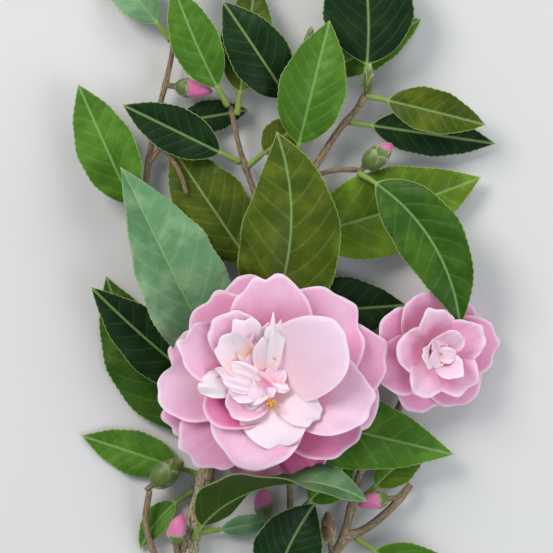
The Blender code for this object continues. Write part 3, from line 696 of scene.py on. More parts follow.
def leafPart(line, seed, at, heading, length, width, rise=0, arch=0, turn=0, roll=0, twist=0, fold=12):
    stalk, total = leaves["stalk"], leaves["stalk"] + length
    half = np.array(leaves["columns"])
    u = np.concatenate([-half[:0:-1], half])[None, :]
    s = np.concatenate([np.linspace(-leaves["sunkFoot"], stalk, 9)[:-1],
                        np.linspace(stalk, total, math.ceil(length / leaves["rowSpacing"]) + 1)])[:, None]
    fine = np.linspace(0, total, 121)
    ways = direction(heading + turn * fine / total, rise - arch * fine / total)
    steps = (ways[1:] + ways[:-1]) / 2 * np.diff(fine)[:, None]
    foot = footOf(line, at, heading, rise, leaves["stalkCorner"])
    path = foot + np.vstack([np.zeros(3), np.cumsum(steps, axis=0)])
    centre = np.stack([np.interp(s[:, 0], fine, path[:, axis]) for axis in range(3)], axis=-1)
    centre += np.minimum(s, 0) * ways[0]  # on into the stem
    way = direction(heading + turn * s[:, 0] / total, rise - arch * s[:, 0] / total)
    left = unit(np.cross(up, way))
    top = np.cross(way, left)
    tilt = np.radians(roll + twist * s / total)
    side = np.cos(tilt) * left + np.sin(tilt) * top
    normal = np.cos(tilt) * top - np.sin(tilt) * left
    blade = (s - stalk) / length
    spread = easeIn(blade, -0.02, 0.09)  # stalk to blade
    toothShare = np.mod((s - stalk) / leaves["toothPitch"], 1.0)
    tooth = leaves["toothDepth"] * (0.5 - toothShare) * easeIn(blade, 0.1, 0.25) * easeIn(blade, 0.97, 0.85)
    stalkWide = leaves["stalkRadius"] * (1.05 - 0.25 * np.clip(s / stalk, 0, 1))  # thinner towards the blade
    bladeWide = leafOutline(blade) * width / 2 * (1 + 0.018 * np.sin(blade * 23 + seed))
    wide = np.maximum(bladeWide + tooth, stalkWide * (1 - spread) * (blade < 0.2) + 0.06)
    off = wide * np.abs(u)
    lift = np.radians(fold) * np.clip(blade * 6, 0, 1)
    toTip = np.clip(blade, 0, 1)
    pitch = length / leaves["veinsPerSide"]
    back = leaves["veinSlant"] * off + leaves["veinBend"] * off**2  # side veins sweep forward
    phase = (s - stalk - back) / pitch + 0.37 * (u > 0) + 0.2
    inside = easeIn(np.abs(u), 0.04, 0.2) * easeIn(np.abs(u), 1.0, 0.75) * spread
    quilt = -leaves["quilt"] * np.cos(2 * math.pi * phase) * inside * np.clip(wide / 6, 0, 1)
    dome = leaves["dome"] * wide * np.sin(math.pi * np.abs(u)) * spread
    wave = leaves["wave"] * wide * np.sin(s * 0.62 + seed + 1.7 * (u > 0)) * u**2 * spread
    groove = -leaves["groove"] * np.exp(-(off / leaves["grooveWidth"]) ** 2) * spread * (1 - 0.7 * toTip)
    keel = leaves["keel"] * np.exp(-(off / leaves["keelWidth"]) ** 2) * (1 - 0.75 * toTip) * spread
    thin = leaves["thickness"] / 2 * (1 - 0.35 * np.abs(u) ** 3) * (1 - 0.3 * toTip)
    stalked = stalkWide * np.sqrt(1 - 0.999 * u**2) * (1 - spread)
    base = centre[:, None, :] - (wide * u * np.cos(lift))[..., None] * side[:, None, :]
    lifted = off * np.sin(lift) + dome + wave
    above = lifted + quilt + groove + thin * spread + stalked
    below = lifted + quilt * 0.8 - thin * spread - keel - stalked
    upper = base + above[..., None] * normal[:, None, :]
    lower = base + below[..., None] * normal[:, None, :]
    edge = (wide - off) * np.clip(blade * 8, 0, 1) + 2 * (blade < 0)
    values = {"along": blade, "offMidrib": off, "edge": edge, "veinPhase": phase}
    return sheetPart(upper, lower, values)


def buildLeaves(lines):
    materials = {tint: leafMaterial(tint) for tint in leafFinish["tints"]}
    names = [name for name in leaves if name.startswith("leaf_")]
    for seed, name in enumerate(names):
        shape = dict(leaves[name])
        tint, stem = shape.pop("tint"), shape.pop("stem")
        made = newPiece(pieceName(name), [leafPart(lines[stem], seed * 1.3, **shape)])
        finishPiece(made, name, materials[tint])
    print("leaves:", len(names))


# Petals: heading round the flower's axis, reach from it and width, then the petal's own shape. "notch" dents
# the tip and "point" draws it out, "wave" ruffles the rim, "curl" rolls the rim under (or up, below 0),
# "roll" tips the petal about its length, "lift" raises it on its whorl, "tone" goes from pale 0 to deep 1,
# partly the petal's own pink and partly painted shade, and "peach" warms the petal's foot, partly as
# painted light through the petals.
blooms = {
    "rows": 32, "columns": 28, "spineSteps": 60, "thickness": 0.42, "rimThickness": 0.16, "footWidth": 0.34,
    "roundTip": 1.05, "roundShare": (0.2, 0.62), "rimRoll": 1.5, "ripple": 0.08, "sideRipple": 0.05,
    "rimRuffles": 4.6, "notchWidth": 0.14, "pointWidth": 0.25,
    "bloom": dict(seat=(-2.2, -28.2, 14.0), heading=0, rise=90, whorls=[
        dict(foot=2.6, height=0.0, climb=(24, -8), cup=4, petals=[
            dict(at=-104, reach=26.0, width=24.0, tone=1.0, wave=0.8, curl=0.5, lift=-1.6, notch=0.05),
            dict(at=-137, reach=28.0, width=19.0, tone=0.6, wave=0.5, curl=0.4, lift=0.6),
            dict(at=-161, reach=28.0, width=16.0, tone=0.85, wave=0.4, curl=0.2, lift=-1.6),
            dict(at=182, reach=28.6, width=18.0, tone=0.34, wave=0.7, curl=-0.5, lift=2.4, cup=14),
            dict(at=160, reach=26.5, width=17.0, tone=0.7, wave=0.4, curl=0.3, lift=-1.0),
            dict(at=127, reach=27.6, width=22.0, tone=0.72, wave=0.5, curl=0.4, lift=1.4, cup=8),
            dict(at=103, reach=29.0, width=21.0, tone=0.7, wave=0.4, curl=0.4, lift=-1.6),
            dict(at=46, reach=30.2, width=28.0, tone=0.56, wave=0.8, curl=0.5, lift=1.8, notch=0.03, cup=8),
            dict(at=16, reach=32.2, width=21.0, tone=0.7, wave=0.5, curl=0.4, lift=-0.8),
            dict(at=-9, reach=29.6, width=20.0, tone=0.85, wave=0.5, curl=0.4, lift=-3.2),
            dict(at=-31, reach=27.5, width=22.5, tone=1.1, wave=1.4, curl=-0.6, lift=1.4, cup=10,
                 crease=1.3),
            dict(at=-62, reach=26.4, width=17.0, tone=1.5, wave=1.8, curl=0.6, notch=0.08, lift=-1.2,
                 crease=1.3),
        ]),
        dict(foot=2.2, height=1.4, climb=(46, 4), cup=16, petals=[
            dict(at=87, reach=28.4, width=22.0, tone=0.5, wave=0.7, curl=0.6, notch=0.04),
            dict(at=-107, reach=21.6, width=25.0, tone=0.42, wave=0.6, curl=0.8, lift=1.4),
            dict(at=-7, reach=26.6, width=22.0, tone=0.32, wave=0.7, curl=0.6, lift=-0.5),
            dict(at=147, reach=25.6, width=17.0, tone=0.5, wave=0.6, curl=-0.8, notch=0.05, cup=30),
            dict(at=203, reach=17.4, width=18.0, tone=1.25, wave=0.5, curl=-1.2, cup=50, climb=(40, 14),
                 lift=1.4),
        ]),
        dict(foot=1.8, height=2.4, climb=(56, 14), cup=22, crease=0.3, petals=[
            dict(at=-74, reach=15.8, width=20.0, tone=-0.22, wave=1.0, curl=0.5, climb=(50, 8), notch=0.06,
                 height=3.0, lift=0.6),
            dict(at=-32, reach=14.8, width=10.4, tone=-0.15, wave=0.1, curl=0.8, climb=(54, 12), height=3.8,
                 point=0.1),
            dict(at=38, reach=23.6, width=21.6, tone=0.06, wave=0.3, curl=0.9, crease=0.2, height=4.2,
                 fullness=0.55),
            dict(at=123, reach=22.2, width=14.0, tone=0.45, wave=0.6, curl=0.9, climb=(52, 10)),
            dict(at=112, reach=18.4, width=9.0, tone=-0.1, wave=0.5, curl=0.9, climb=(56, 20), height=2.8,
                 peach=0.5),
            dict(at=90, reach=16.2, width=9.5, tone=0.3, wave=0.5, curl=0.3, climb=(56, 24), roll=-12,
                 peach=0.6),
            dict(at=133, reach=17.6, width=10.6, tone=-0.2, wave=0.2, curl=-0.5, climb=(58, 10), height=4.2,
                 peach=3.4, cup=44, fullness=0.4),
            dict(at=212, reach=12.0, width=12.5, tone=0.5, wave=0.5, curl=0.8, cup=40, climb=(54, 18),
                 height=4.4),
        ]),
        dict(foot=1.2, height=3.8, climb=(62, 26), cup=24, crease=0.3, petals=[
            dict(at=86, reach=16.6, width=4.0, tone=-0.4, wave=0.2, curl=0.1, climb=(56, 14), height=4.9,
                 point=0.16),
            dict(at=79, reach=16.6, width=4.2, tone=-0.34, wave=0.1, curl=0.5, climb=(58, 12), height=5.2,
                 crease=0.15, point=0.06),
            dict(at=90, reach=13.0, width=8.0, tone=-0.2, wave=0.2, curl=0.4, climb=(58, 22), roll=-14,
                 peach=0.9, height=4.9),
            dict(at=119, reach=13.6, width=6.6, tone=-0.2, wave=0.2, curl=-0.5, climb=(60, 6), peach=3.0,
                 cup=40, height=4.4, fullness=0.5),
            dict(at=177, reach=17.0, width=7.5, tone=-0.3, wave=1.0, curl=1.4, climb=(46, 18), cup=30,
                 peach=0.1),
            dict(at=161, reach=12.2, width=8.4, tone=-0.22, wave=0.9, curl=0.5, point=0.22, climb=(60, -4),
                 height=7.4, crease=1.4),
            dict(at=188, reach=10.0, width=7.0, tone=-0.1, wave=0.9, curl=0.6, climb=(60, 4), height=7.0,
                 crease=0.9),
            dict(at=226, reach=7.6, width=7.0, tone=0.1, wave=0.6, curl=0.7, climb=(58, 20), height=5.4,
                 crease=0.9),
            dict(at=108, reach=10.4, width=8.0, tone=0.15, wave=0.7, curl=0.6, climb=(58, 16), height=5.6,
                 peach=0.8),
            dict(at=56, reach=9.0, width=8.0, tone=0.35, wave=0.6, curl=0.4, climb=(60, 18), peach=0.6),
            dict(at=14, reach=9.6, width=8.5, tone=-0.2, wave=0.8, curl=0.6, climb=(58, 12), notch=0.06),
            dict(at=-24, reach=9.0, width=7.5, tone=-0.2, wave=0.8, curl=0.5, climb=(58, 12)),
            dict(at=-66, reach=7.6, width=7.5, tone=-0.2, wave=0.8, curl=0.6, climb=(40, 4), notch=0.08),
            dict(at=-112, reach=8.4, width=7.5, tone=0.15, wave=0.7, curl=0.6, climb=(44, 8)),
        ]),
        dict(foot=-1.8, height=8.6, climb=(40, -6), cup=24, crease=0.3, petals=[
            dict(at=208, reach=7.0, width=6.0, tone=-0.1, wave=0.7, curl=0.6),
            dict(at=138, reach=5.0, width=4.6, tone=-0.05, wave=0.6, curl=-0.4, height=8.6, peach=0.5),
            dict(at=54, reach=6.2, width=6.0, tone=0.3, wave=0.3, curl=0.2, height=7.0, peach=0.9),
            dict(at=-6, reach=5.6, width=2.6, tone=-0.3, wave=0.7, curl=0.5, height=8.2),
            dict(at=-42, foot=-5.0, reach=1.8, width=4.2, tone=0.9, wave=0.4, curl=0.2, cup=95,
                 climb=(14, -12), height=10.2, peach=0.6),
            dict(at=-95, reach=3.2, width=4.4, tone=0.0, wave=0.7, curl=0.5, height=9.4),
        ]),
    ]),
    "second_bloom": dict(seat=(40.0, -19.6, 6.2), heading=-12, rise=70, whorls=[
        dict(foot=2.0, height=0.0, climb=(34, -4), cup=16, width=17.0, wave=0.6, curl=0.5, petals=[
            dict(at=10, reach=18.0, tone=0.7, lift=1.2),
            dict(at=58, reach=17.0, width=16.0, tone=0.8, lift=-0.8),
            dict(at=104, reach=16.5, width=16.0, tone=0.7, lift=1.0),
            dict(at=152, reach=17.0, tone=0.8, lift=-0.8),
            dict(at=200, reach=17.5, width=16.0, tone=0.7, lift=1.2),
            dict(at=250, reach=16.5, width=16.0, tone=0.8, lift=-0.8),
            dict(at=310, reach=17.0, tone=0.7, lift=0.2),
        ]),
        dict(foot=1.5, height=1.0, climb=(60, 20), cup=28, wave=0.6, curl=0.8, petals=[
            dict(at=30, reach=12.5, width=13.0, tone=0.5),
            dict(at=100, reach=12.0, width=12.0, tone=0.4),
            dict(at=172, reach=12.5, width=13.0, tone=0.5),
            dict(at=240, reach=12.0, width=12.0, tone=0.4),
            dict(at=312, reach=12.5, width=13.0, tone=0.5),
        ]),
        dict(foot=1.0, height=2.0, climb=(76, 50), cup=34, reach=6.5, width=8.0, tone=0.2, wave=0.8, curl=0.4,
             petals=[dict(at=60), dict(at=180), dict(at=300)]),
        dict(foot=-1.2, height=6.0, climb=(50, -4), cup=30, width=5.0, wave=0.7, curl=0.5, petals=[
            dict(at=100, reach=4.6, tone=0.25, peach=0.4),
            dict(at=230, reach=4.4, tone=0.15, height=6.5),
            dict(at=350, reach=4.2, width=4.6, tone=0.1, height=7.0),
        ]),
    ]),
}


def wander(seed, across, along):  # smooth noise over a petal
    return np.vectorize(lambda x, y: noise.noise(Vector((seed, x, y))))(across, along)


def petalPart(seed, seat, axes, foot, height, climb, cup, at, reach, width, tone, wave=0.5, curl=0.0,
              notch=0.0, point=0.0, roll=0.0, lift=0.0, crease=0.4, peach=0.0, fullness=1.0):
    steps = blooms["spineSteps"]
    share = np.linspace(0, 1, steps + 1)
    rise = np.radians(climb[0] + (climb[1] - climb[0]) * share)
    forward = np.concatenate([[0.0], np.cumsum((np.cos(rise)[1:] + np.cos(rise)[:-1]) / 2 / steps)])
    upward = np.concatenate([[0.0], np.cumsum((np.sin(rise)[1:] + np.sin(rise)[:-1]) / 2 / steps)])
    length = (reach - foot) / forward[-1]
    row = np.linspace(0, 1, blooms["rows"] + 1)[:, None] ** 0.85
    u = np.sin(np.linspace(-1, 1, blooms["columns"] + 1) * math.pi / 2)[None, :]
    straight = 1 - np.clip(blooms["roundTip"] * width / 2 / length, *blooms["roundShare"])  # then an oval
    v = np.clip((row - straight) / (1 - straight), 0, 1)
    q = u * np.sqrt(1 - v**2 / 2)
    ahead = v * np.sqrt(1 - u**2 / 2)
    swell = np.sin(math.pi / 2 * np.clip(row / straight, 0, 1)) ** fullness
    half = width / 2 * (blooms["footWidth"] + (1 - blooms["footWidth"]) * swell)
    tipEdge = (1 - np.sqrt(q**2 + ahead**2)) * min(width / 2, length * (1 - straight))
    edgeIn = np.where(row < straight, (1 - np.abs(u)) * half, tipEdge)  # mm
    ripple = wander(seed * 5.3, q * 2.2, ahead * 1.5)
    dent = notch * np.exp(-((q - 0.2 * math.sin(seed * 2.1)) / blooms["notchWidth"]) ** 2)
    dent = dent - point * np.exp(-(q / blooms["pointWidth"]) ** 2)
    place = np.where(row < straight, row, straight + (1 - straight) * ahead)
    place = np.clip(place * (1 - dent * v**3 + blooms["ripple"] * ripple * v**2), 0, None)
    tilt = np.interp(place, share, rise)
    bend = math.radians(cup)
    sideways = half * np.sin(q * bend) / bend * (1 + blooms["sideRipple"] * ripple * place)
    rolled = -curl * np.exp(-edgeIn / blooms["rimRoll"]) * place
    ruffle = wave * np.sin(q * blooms["rimRuffles"] + seed * 1.9) * place**2.5 * (0.3 + 0.7 * np.abs(q))
    pleat = crease * wander(seed * 3.1, q * 4.2, place * 1.7) * place
    raised = half * (1 - np.cos(q * bend)) / bend
    raised = raised + rolled + ruffle + pleat + math.sin(math.radians(roll)) * sideways
    rim = blooms["rimThickness"]
    thick = rim + (blooms["thickness"] - rim) * np.clip(1 - row, 0, 1) ** 0.6
    turn = math.radians(at)
    beyond = np.maximum(place - 1, 0) * length  # a drawn-out tip runs straight on
    spineOut = foot + length * np.interp(place, share, forward) + beyond * np.cos(tilt)
    spineUp = height + lift * place + length * np.interp(place, share, upward) + beyond * np.sin(tilt)

    def placed(offset):
        above = raised + offset
        out, tall = spineOut - above * np.sin(tilt), spineUp + above * np.cos(tilt)
        local = np.stack([out * math.cos(turn) + sideways * math.sin(turn),
                          out * math.sin(turn) - sideways * math.cos(turn), tall], axis=-1)
        return local @ axes + seat

    same = np.ones(raised.shape)
    values = {"along": place, "across": q, "rim": edgeIn, "tone": same * tone, "peach": same * peach}
    return sheetPart(placed(thick / 2), placed(-thick / 2), values)


def flowerAxes(heading, rise):
    axis = direction(heading, rise)
    across = unit(np.cross((0.0, 1.0, 0.0), axis))
    return np.array((across, np.cross(axis, across), axis))


def buildBlooms():
    material = petalMaterial()
    for name in ("bloom", "second_bloom"):
        flower = blooms[name]
        seat, axes = np.array(flower["seat"]), flowerAxes(flower["heading"], flower["rise"])
        parts = []
        for whorl in flower["whorls"]:
            shape = {key: whorl[key] for key in whorl if key != "petals"}
            for petal in whorl["petals"]:  # a petal's own values go before its whorl's
                parts.append(petalPart(len(parts) + len(name), seat, axes, **(shape | petal)))
        finishPiece(newPiece(pieceName(name), parts), name, material)
        print(name + ":", len(parts), "petals")


stamens = {  # tufts: across the bloom's face, how many, how wide and tall, the anther's size, the splay
    "filament": 0.16, "foot": 2.4,
    "bloom": [dict(place=(0.4, 0.0), count=4, spread=1.8, height=6.4, anther=0.4, lean=0.1),
              dict(place=(0.8, -4.4), count=9, spread=0.9, height=9.8, anther=0.5, lean=0.03),
              dict(place=(1.7, 7.3), count=2, spread=0.5, height=9.4, anther=0.5, lean=0.03)],
    "second_bloom": [dict(place=(0.0, 0.0), count=8, spread=2.4, height=6.4, anther=0.34, lean=0.3)],
}


def stamenTree():  # a tuft of stamens that stands on the origin
    tree, start = newGrowth("stamens", {"Count": "Int", "Spread": "Float", "Height": "Float", "Lean": "Float",
                                        "Anther": "Float", "Filament": "Float", "Anther Finish": "Material",
                                        "Filament Finish": "Material"})
    index = tree.node("GeometryNodeInputIndex")
    count = start.out("Count")
    reach = tree.math("SQRT", index / count) * start.out("Spread")
    turn = index * goldenAngle
    x, y = tree.math("COSINE", turn) * reach, tree.math("SINE", turn) * reach
    points = tree.node("GeometryNodeMeshLine", None, {"Count": count})
    points = tree.move(points, Position=tree.vector(x, y, 0.0))
    varied = tree.node("FunctionNodeRandomValue", {"data_type": "FLOAT"}, {2: 0.72, 3: 1.1, "Seed": 4}, 1)
    lean = start.out("Lean") / start.out("Spread")
    way = tree.vector(x * lean, y * lean, 1.0)
    aim = tree.node("FunctionNodeAlignRotationToVector", {"axis": "Z"}, {"Vector": way})
    height = start.out("Height") * varied
    thread = tree.node("GeometryNodeMeshCone", None, {
        "Vertices": 6, "Radius Top": start.out("Filament") * 0.6, "Radius Bottom": start.out("Filament"),
        "Depth": 1.0})
    threads = tree.node("GeometryNodeInstanceOnPoints", None, {
        "Points": points, "Instance": thread, "Rotation": aim, "Scale": tree.vector(1.0, 1.0, height)})
    ball = tree.node("GeometryNodeMeshUVSphere", None, {
        "Segments": 8, "Rings": 6, "Radius": start.out("Anther")})
    ball = tree.node("GeometryNodeTransform", None, {"Geometry": ball, "Scale": (0.7, 1.0, 1.7)})
    shift = tree.node("ShaderNodeVectorMath", {"operation": "SCALE"}, {0: way, "Scale": height})
    tips = tree.node("GeometryNodeInstanceOnPoints", None, {
        "Points": tree.move(points, Offset=shift), "Instance": ball, "Rotation": aim})
    both = tree.node("GeometryNodeJoinGeometry")
    for part, material in ((threads, "Filament Finish"), (tips, "Anther Finish")):
        tree.join(tree.finish(part, start.out(material)), both.socket.node.inputs[0])
    return endGrowth(tree, both)


def buildStamens():
    group = stamenTree()
    gold = plainMaterial("antherGold", rgb(238, 182, 62), 0.7, 2400.0, 0.0001)
    cream = plainMaterial("filamentCream", rgb(246, 226, 170), 0.5, 900.0, 0.00005)
    for name in ("bloom", "second_bloom"):
        flower = blooms[name]
        axes = flowerAxes(flower["heading"], flower["rise"])
        for count, clump in enumerate(stamens[name]):
            mesh = grow(group, bpy.data.meshes.new(name + "Stamens"), {
                "Count": clump["count"], "Spread": clump["spread"] * mm, "Height": clump["height"] * mm,
                "Lean": clump["lean"], "Anther": clump["anther"] * mm, "Filament": stamens["filament"] * mm,
                "Anther Finish": gold, "Filament Finish": cream})
            seat = onSpray(np.array(flower["seat"]) + np.array((*clump["place"], stamens["foot"])) @ axes)
            mesh.vertices.foreach_set("co", (pointsOf(mesh) @ axes + seat).ravel())
            finishPiece(addObject(pieceName(name) + "Stamens" + str(count + 1), mesh), name)
    print("stamens done")


buds = {
    "stalkRadius": 0.85, "stalkThickness": 0.75, "stalkSides": 14, "stalkRelief": 0.04, "stalkRings": 12,
    "sunkFoot": 1.3, "sunkTop": 1.2, "scaleThickness": 0.16, "scaleTurn": 2.39996, "coreSides": 20,
    "coreRings": 25, "coreWidth": 0.44,
    "bud_green": dict(kind="green", stem="left_bud_twig", heading=42, rise=10, stalk=1.0, length=10.5,
                      width=6.6, turn=-6),
    "bud_pink_low": dict(kind="pink", stem="main_stem", at=14, heading=108, rise=36, stalk=4.0, length=8.4,
                         width=4.8, turn=-50),
    "bud_pink_upper": dict(kind="pink", stem="left_shoot", at=97, heading=-8, rise=8, stalk=1.5,
                           length=10.0, width=5.0),
    "bud_tipped": dict(kind="tipped", stem="right_twig", heading=40, rise=12, stalk=1.0, length=9.5,
                       width=6.0),
    "bud_shoot_end": dict(kind="leaf", stem="right_shoot", heading=84, rise=57, stalk=0.5, length=8.0,
                          width=2.6),
    "bud_pink_right": dict(kind="pink", stem="lower_branch", at=70.5, heading=180, rise=28, stalk=1.5,
                           length=8.4, width=4.4, turn=20),
    "bud_pink_left": dict(kind="pink", stem="left_shoot", at=38, heading=-24, rise=14, stalk=1.0,
                          length=9.5, width=5.0),
    "bud_pink_centre": dict(kind="pink", stem="centre_twig", at=16.2, heading=142, rise=2, stalk=7.0,
                            length=8.5, width=5.0, turn=-66),
    "bud_leader": dict(kind="leaf", stem="main_stem", heading=84, rise=12, stalk=0.5, length=9.0,
                       width=3.0),
    "bud_scaly": dict(kind="brown", stem="lower_branch", at=46, heading=98, rise=16, stalk=1.0, length=8.6,
                      width=4.0, turn=-6),
}
scaleKinds = {  # how many scales, where the first starts and each next, their length and half their angle
    "green": [dict(finish="budGreen", count=9, first=-0.02, step=0.06, span=0.62, halfAngle=1.25,
                   lift=0.035)],
    "leaf": [dict(finish="budGreen", count=7, first=-0.02, step=0.07, span=0.66, halfAngle=1.3, lift=0.05)],
    "brown": [dict(finish="budBrown", count=10, first=-0.02, step=0.06, span=0.5, halfAngle=1.2, lift=0.06)],
    "pink": [dict(finish="budPink", count=6, first=0.02, step=0.02, span=0.96, halfAngle=1.5, lift=0.03),
             dict(finish="budGreen", count=5, first=-0.02, step=0.03, span=0.34, halfAngle=1.2, lift=0.07)],
    "tipped": [dict(finish="budPink", count=4, first=0.3, step=0.02, span=0.68, halfAngle=1.5, lift=0.0),
               dict(finish="budGreen", count=8, first=-0.02, step=0.05, span=0.56, halfAngle=1.2, lift=0.04)],
}


def eggWidth(share):  # of a bud, from its foot to its tip
    foot, tip = 0.45, 0.75  # how full it is at either end
    widest = foot / (foot + tip)
    return (share / widest) ** foot * ((1 - share) / (1 - widest)) ** tip


def scaleTree():  # scales wound round a pointed egg that stands on the origin, of length 1 and half width 1
    tree, start = newGrowth("budScales", {"Count": "Int", "First": "Float", "Step": "Float", "Span": "Float",
                                          "Half Angle": "Float", "Lift": "Float", "Finish": "Material"})
    patch = tree.node("GeometryNodeMeshGrid", None, {
        "Size X": 2.0, "Size Y": 1.0, "Vertices X": 11, "Vertices Y": 15})
    place = tree.node("ShaderNodeSeparateXYZ", None, {0: tree.node("GeometryNodeInputPosition")})
    patch = tree.store(patch, {"across": place, "along": place.out("Y") + 0.5})
    points = tree.node("GeometryNodeMeshLine", None, {"Count": start.out("Count")})
    scales = tree.node("GeometryNodeInstanceOnPoints", None, {"Points": points, "Instance": patch})
    scales = tree.store(scales, {"turn": tree.node("GeometryNodeInputIndex")}, "INSTANCE")
    scales = tree.node("GeometryNodeRealizeInstances", None, {"Geometry": scales})
    across, along, turn = tree.named("across"), tree.named("along"), tree.named("turn")
    foot = start.out("First") + (start.out("Count") - 1 - turn) * start.out("Step")
    share = tree.math("MINIMUM", foot + along * start.out("Span"), 0.995)
    inside = tree.math("MAXIMUM", share, 0.015)
    narrowing = tree.math("SQRT", tree.math("MAXIMUM", 1.0 - along ** 2.6, 0.0)) * 0.96 + 0.04
    angle = turn * buds["scaleTurn"] + across * start.out("Half Angle") * narrowing
    layer = 0.9 + turn * 0.004 + start.out("Lift") * (0.5 + along * along * 1.5) - across * across * 0.03
    radius = eggWidth(inside) * layer
    position = tree.vector(tree.math("COSINE", angle) * radius, tree.math("SINE", angle) * radius, share)
    return endGrowth(tree, tree.finish(tree.move(scales, Position=position), start.out("Finish")))


class BudAxis:  # the bent axis of a bud and its stalk
    def __init__(self, start, heading, rise, total, turn):
        self.steps = np.linspace(0, total, 25)
        middle = (self.steps[1:] + self.steps[:-1]) / 2 / total
        ways = direction(heading + turn * middle, rise * (1 - middle))
        walked = np.cumsum(ways * self.steps[1], axis=0)
        self.centres = start + np.vstack([np.zeros(3), walked])
        self.ways = np.gradient(self.centres, axis=0)

    def place(self, local):  # x and y across the axis, z along it
        at = local[:, 2]
        centre = np.stack([np.interp(at, self.steps, self.centres[:, k]) for k in range(3)], axis=-1)
        way = unit(np.stack([np.interp(at, self.steps, self.ways[:, k]) for k in range(3)], axis=-1))
        side = unit(np.cross(way, up))
        other = np.cross(way, side)
        return centre + local[:, :1] * side + local[:, 1:2] * other


def placeScales(name, group, look, material, axis, bud):
    mesh = grow(group, bpy.data.meshes.new(name), {
        "Count": look["count"], "First": look["first"], "Step": look["step"], "Span": look["span"],
        "Half Angle": look["halfAngle"], "Lift": look["lift"], "Finish": material})
    local = pointsOf(mesh) * (bud["width"] / 2, bud["width"] / 2, bud["length"]) + (0, 0, bud["stalk"])
    mesh.vertices.foreach_set("co", onSpray(axis.place(local)).ravel())
    holder = addObject(name, mesh)
    wall = holder.modifiers.new("wall", "SOLIDIFY")
    wall.thickness = buds["scaleThickness"] * mm
    wall.offset = 1.0
    return addObject(name, applied(holder))


def corePart(axis, bud):  # the closed egg that a bud's scales lie on
    sides = buds["coreSides"]
    share = np.clip((1 - np.cos(np.linspace(0, math.pi, buds["coreRings"]))) / 2, 0.004, 0.985)
    radius = bud["width"] * buds["coreWidth"] * eggWidth(share)
    turns = np.linspace(0, 2 * math.pi, sides, endpoint=False)
    height = np.repeat(bud["stalk"] + share * bud["length"], sides).reshape(-1, sides)
    local = np.stack([np.outer(radius, np.cos(turns)), np.outer(radius, np.sin(turns)), height], axis=-1)
    index = np.arange(share.size * sides).reshape(-1, sides)
    around = np.roll(index, -1, axis=1)
    quads = np.stack([index[:-1], around[:-1], around[1:], index[1:]], axis=-1).reshape(-1, 4)
    step = np.arange(sides // 2 - 1)
    cap = np.stack([step, step + 1, sides - 2 - step, sides - 1 - step], axis=-1)  # strips across each end
    faces = np.concatenate([quads, index[0][cap], index[-1][cap]])
    along = np.repeat(share, sides)
    return axis.place(local.reshape(-1, 3)), faces, {"along": along, "across": along * 0}


def buildBuds(lines, barkGroup, bark, materials):
    group = scaleTree()
    names = [name for name in buds if name.startswith("bud_")]
    for name in names:
        bud = buds[name]
        line = lines[bud["stem"]]
        if "at" in bud:
            start = footOf(line, bud["at"], bud["heading"], bud["rise"], buds["stalkRadius"])
        else:
            clear = spray["gap"] + buds["stalkRadius"] * 0.7
            start = line.point(line.length) + line.tangent(line.length) * clear
        axis = BudAxis(start, bud["heading"], bud["rise"], bud["stalk"] + bud["length"], bud.get("turn", 0))
        kinds = scaleKinds[bud["kind"]]
        for look, ending in zip(kinds, ("", "Scales")):
            finish = look["finish"]
            made = placeScales(pieceName(name) + ending, group, look, materials[finish], axis, bud)
            finishPiece(made, name)
        finish = kinds[0]["finish"]
        core = newPiece(pieceName(name) + "Core", [corePart(axis, bud)])
        finishPiece(core, name, materials[finish])
        sunk, rings = buds["sunkFoot"], buds["stalkRings"]
        along = np.linspace(0, bud["stalk"] + buds["sunkTop"], rings)  # on into the core
        inner = axis.place(np.stack([np.zeros(rings), np.zeros(rings), along], axis=-1))
        spots = [start - direction(bud["heading"], bud["rise"]) * sunk, *inner]
        radii = [buds["stalkThickness"]] * (rings + 1)
        mesh = stemMesh(name + "Stalk", spots, radii, [0, *(along + sunk)], barkGroup, buds["stalkSides"],
                        buds["stalkRelief"], bark)
        finishPiece(addObject(pieceName(name) + "Stalk", mesh), name)
    print("buds:", len(names))


cups = {
    "depth": 3.4, "coreUnderside": 0.25, "sides": 24, "rings": 40, "relief": 0.05, "tubeShare": 0.86,
    "sepals": 7, "sepalThickness": 0.24, "sepalFoot": 1.0, "sepalHalfAngle": 0.62,
    "bloom_cup": dict(stem="main_stem", at=66, bloom="bloom", points=[(-6.4, -28.4, 6.8)],
                      radii=[1.0, 1.1, 2.4, 4.6]),
    "second_cup": dict(stem="bloom_twig", bloom="second_bloom", points=[], radii=[0.9, 1.9, 3.2]),
}


def sepalPart(seat, axes, wide, k):  # a broad green scale that cups the bloom from below
    row = np.linspace(0, 1, 13)[:, None]
    u = np.linspace(-1, 1, 11)[None, :]
    layer = 0.35 * (k % 2) + 0.05 * k
    half = cups["sepalHalfAngle"] * np.sqrt(np.clip(1 - row**2.4, 0, 1)) + 0.06
    turn = k * goldenAngle + u * half
    foot = cups["sepalFoot"]
    out = foot + (wide * (0.72 + 0.05 * k) - foot) * np.sin(row * math.pi / 2)
    tall = -3.3 + 3.0 * row**1.5 - layer * 0.6

    def placed(offset):
        local = np.stack([(out + offset) * np.cos(turn), (out + offset) * np.sin(turn),
                          tall - offset + 0 * turn], axis=-1)
        return local @ axes + seat

    thick = cups["sepalThickness"] / 2
    return sheetPart(placed(-thick), placed(thick), {"along": row + 0 * u, "across": u + 0 * row})


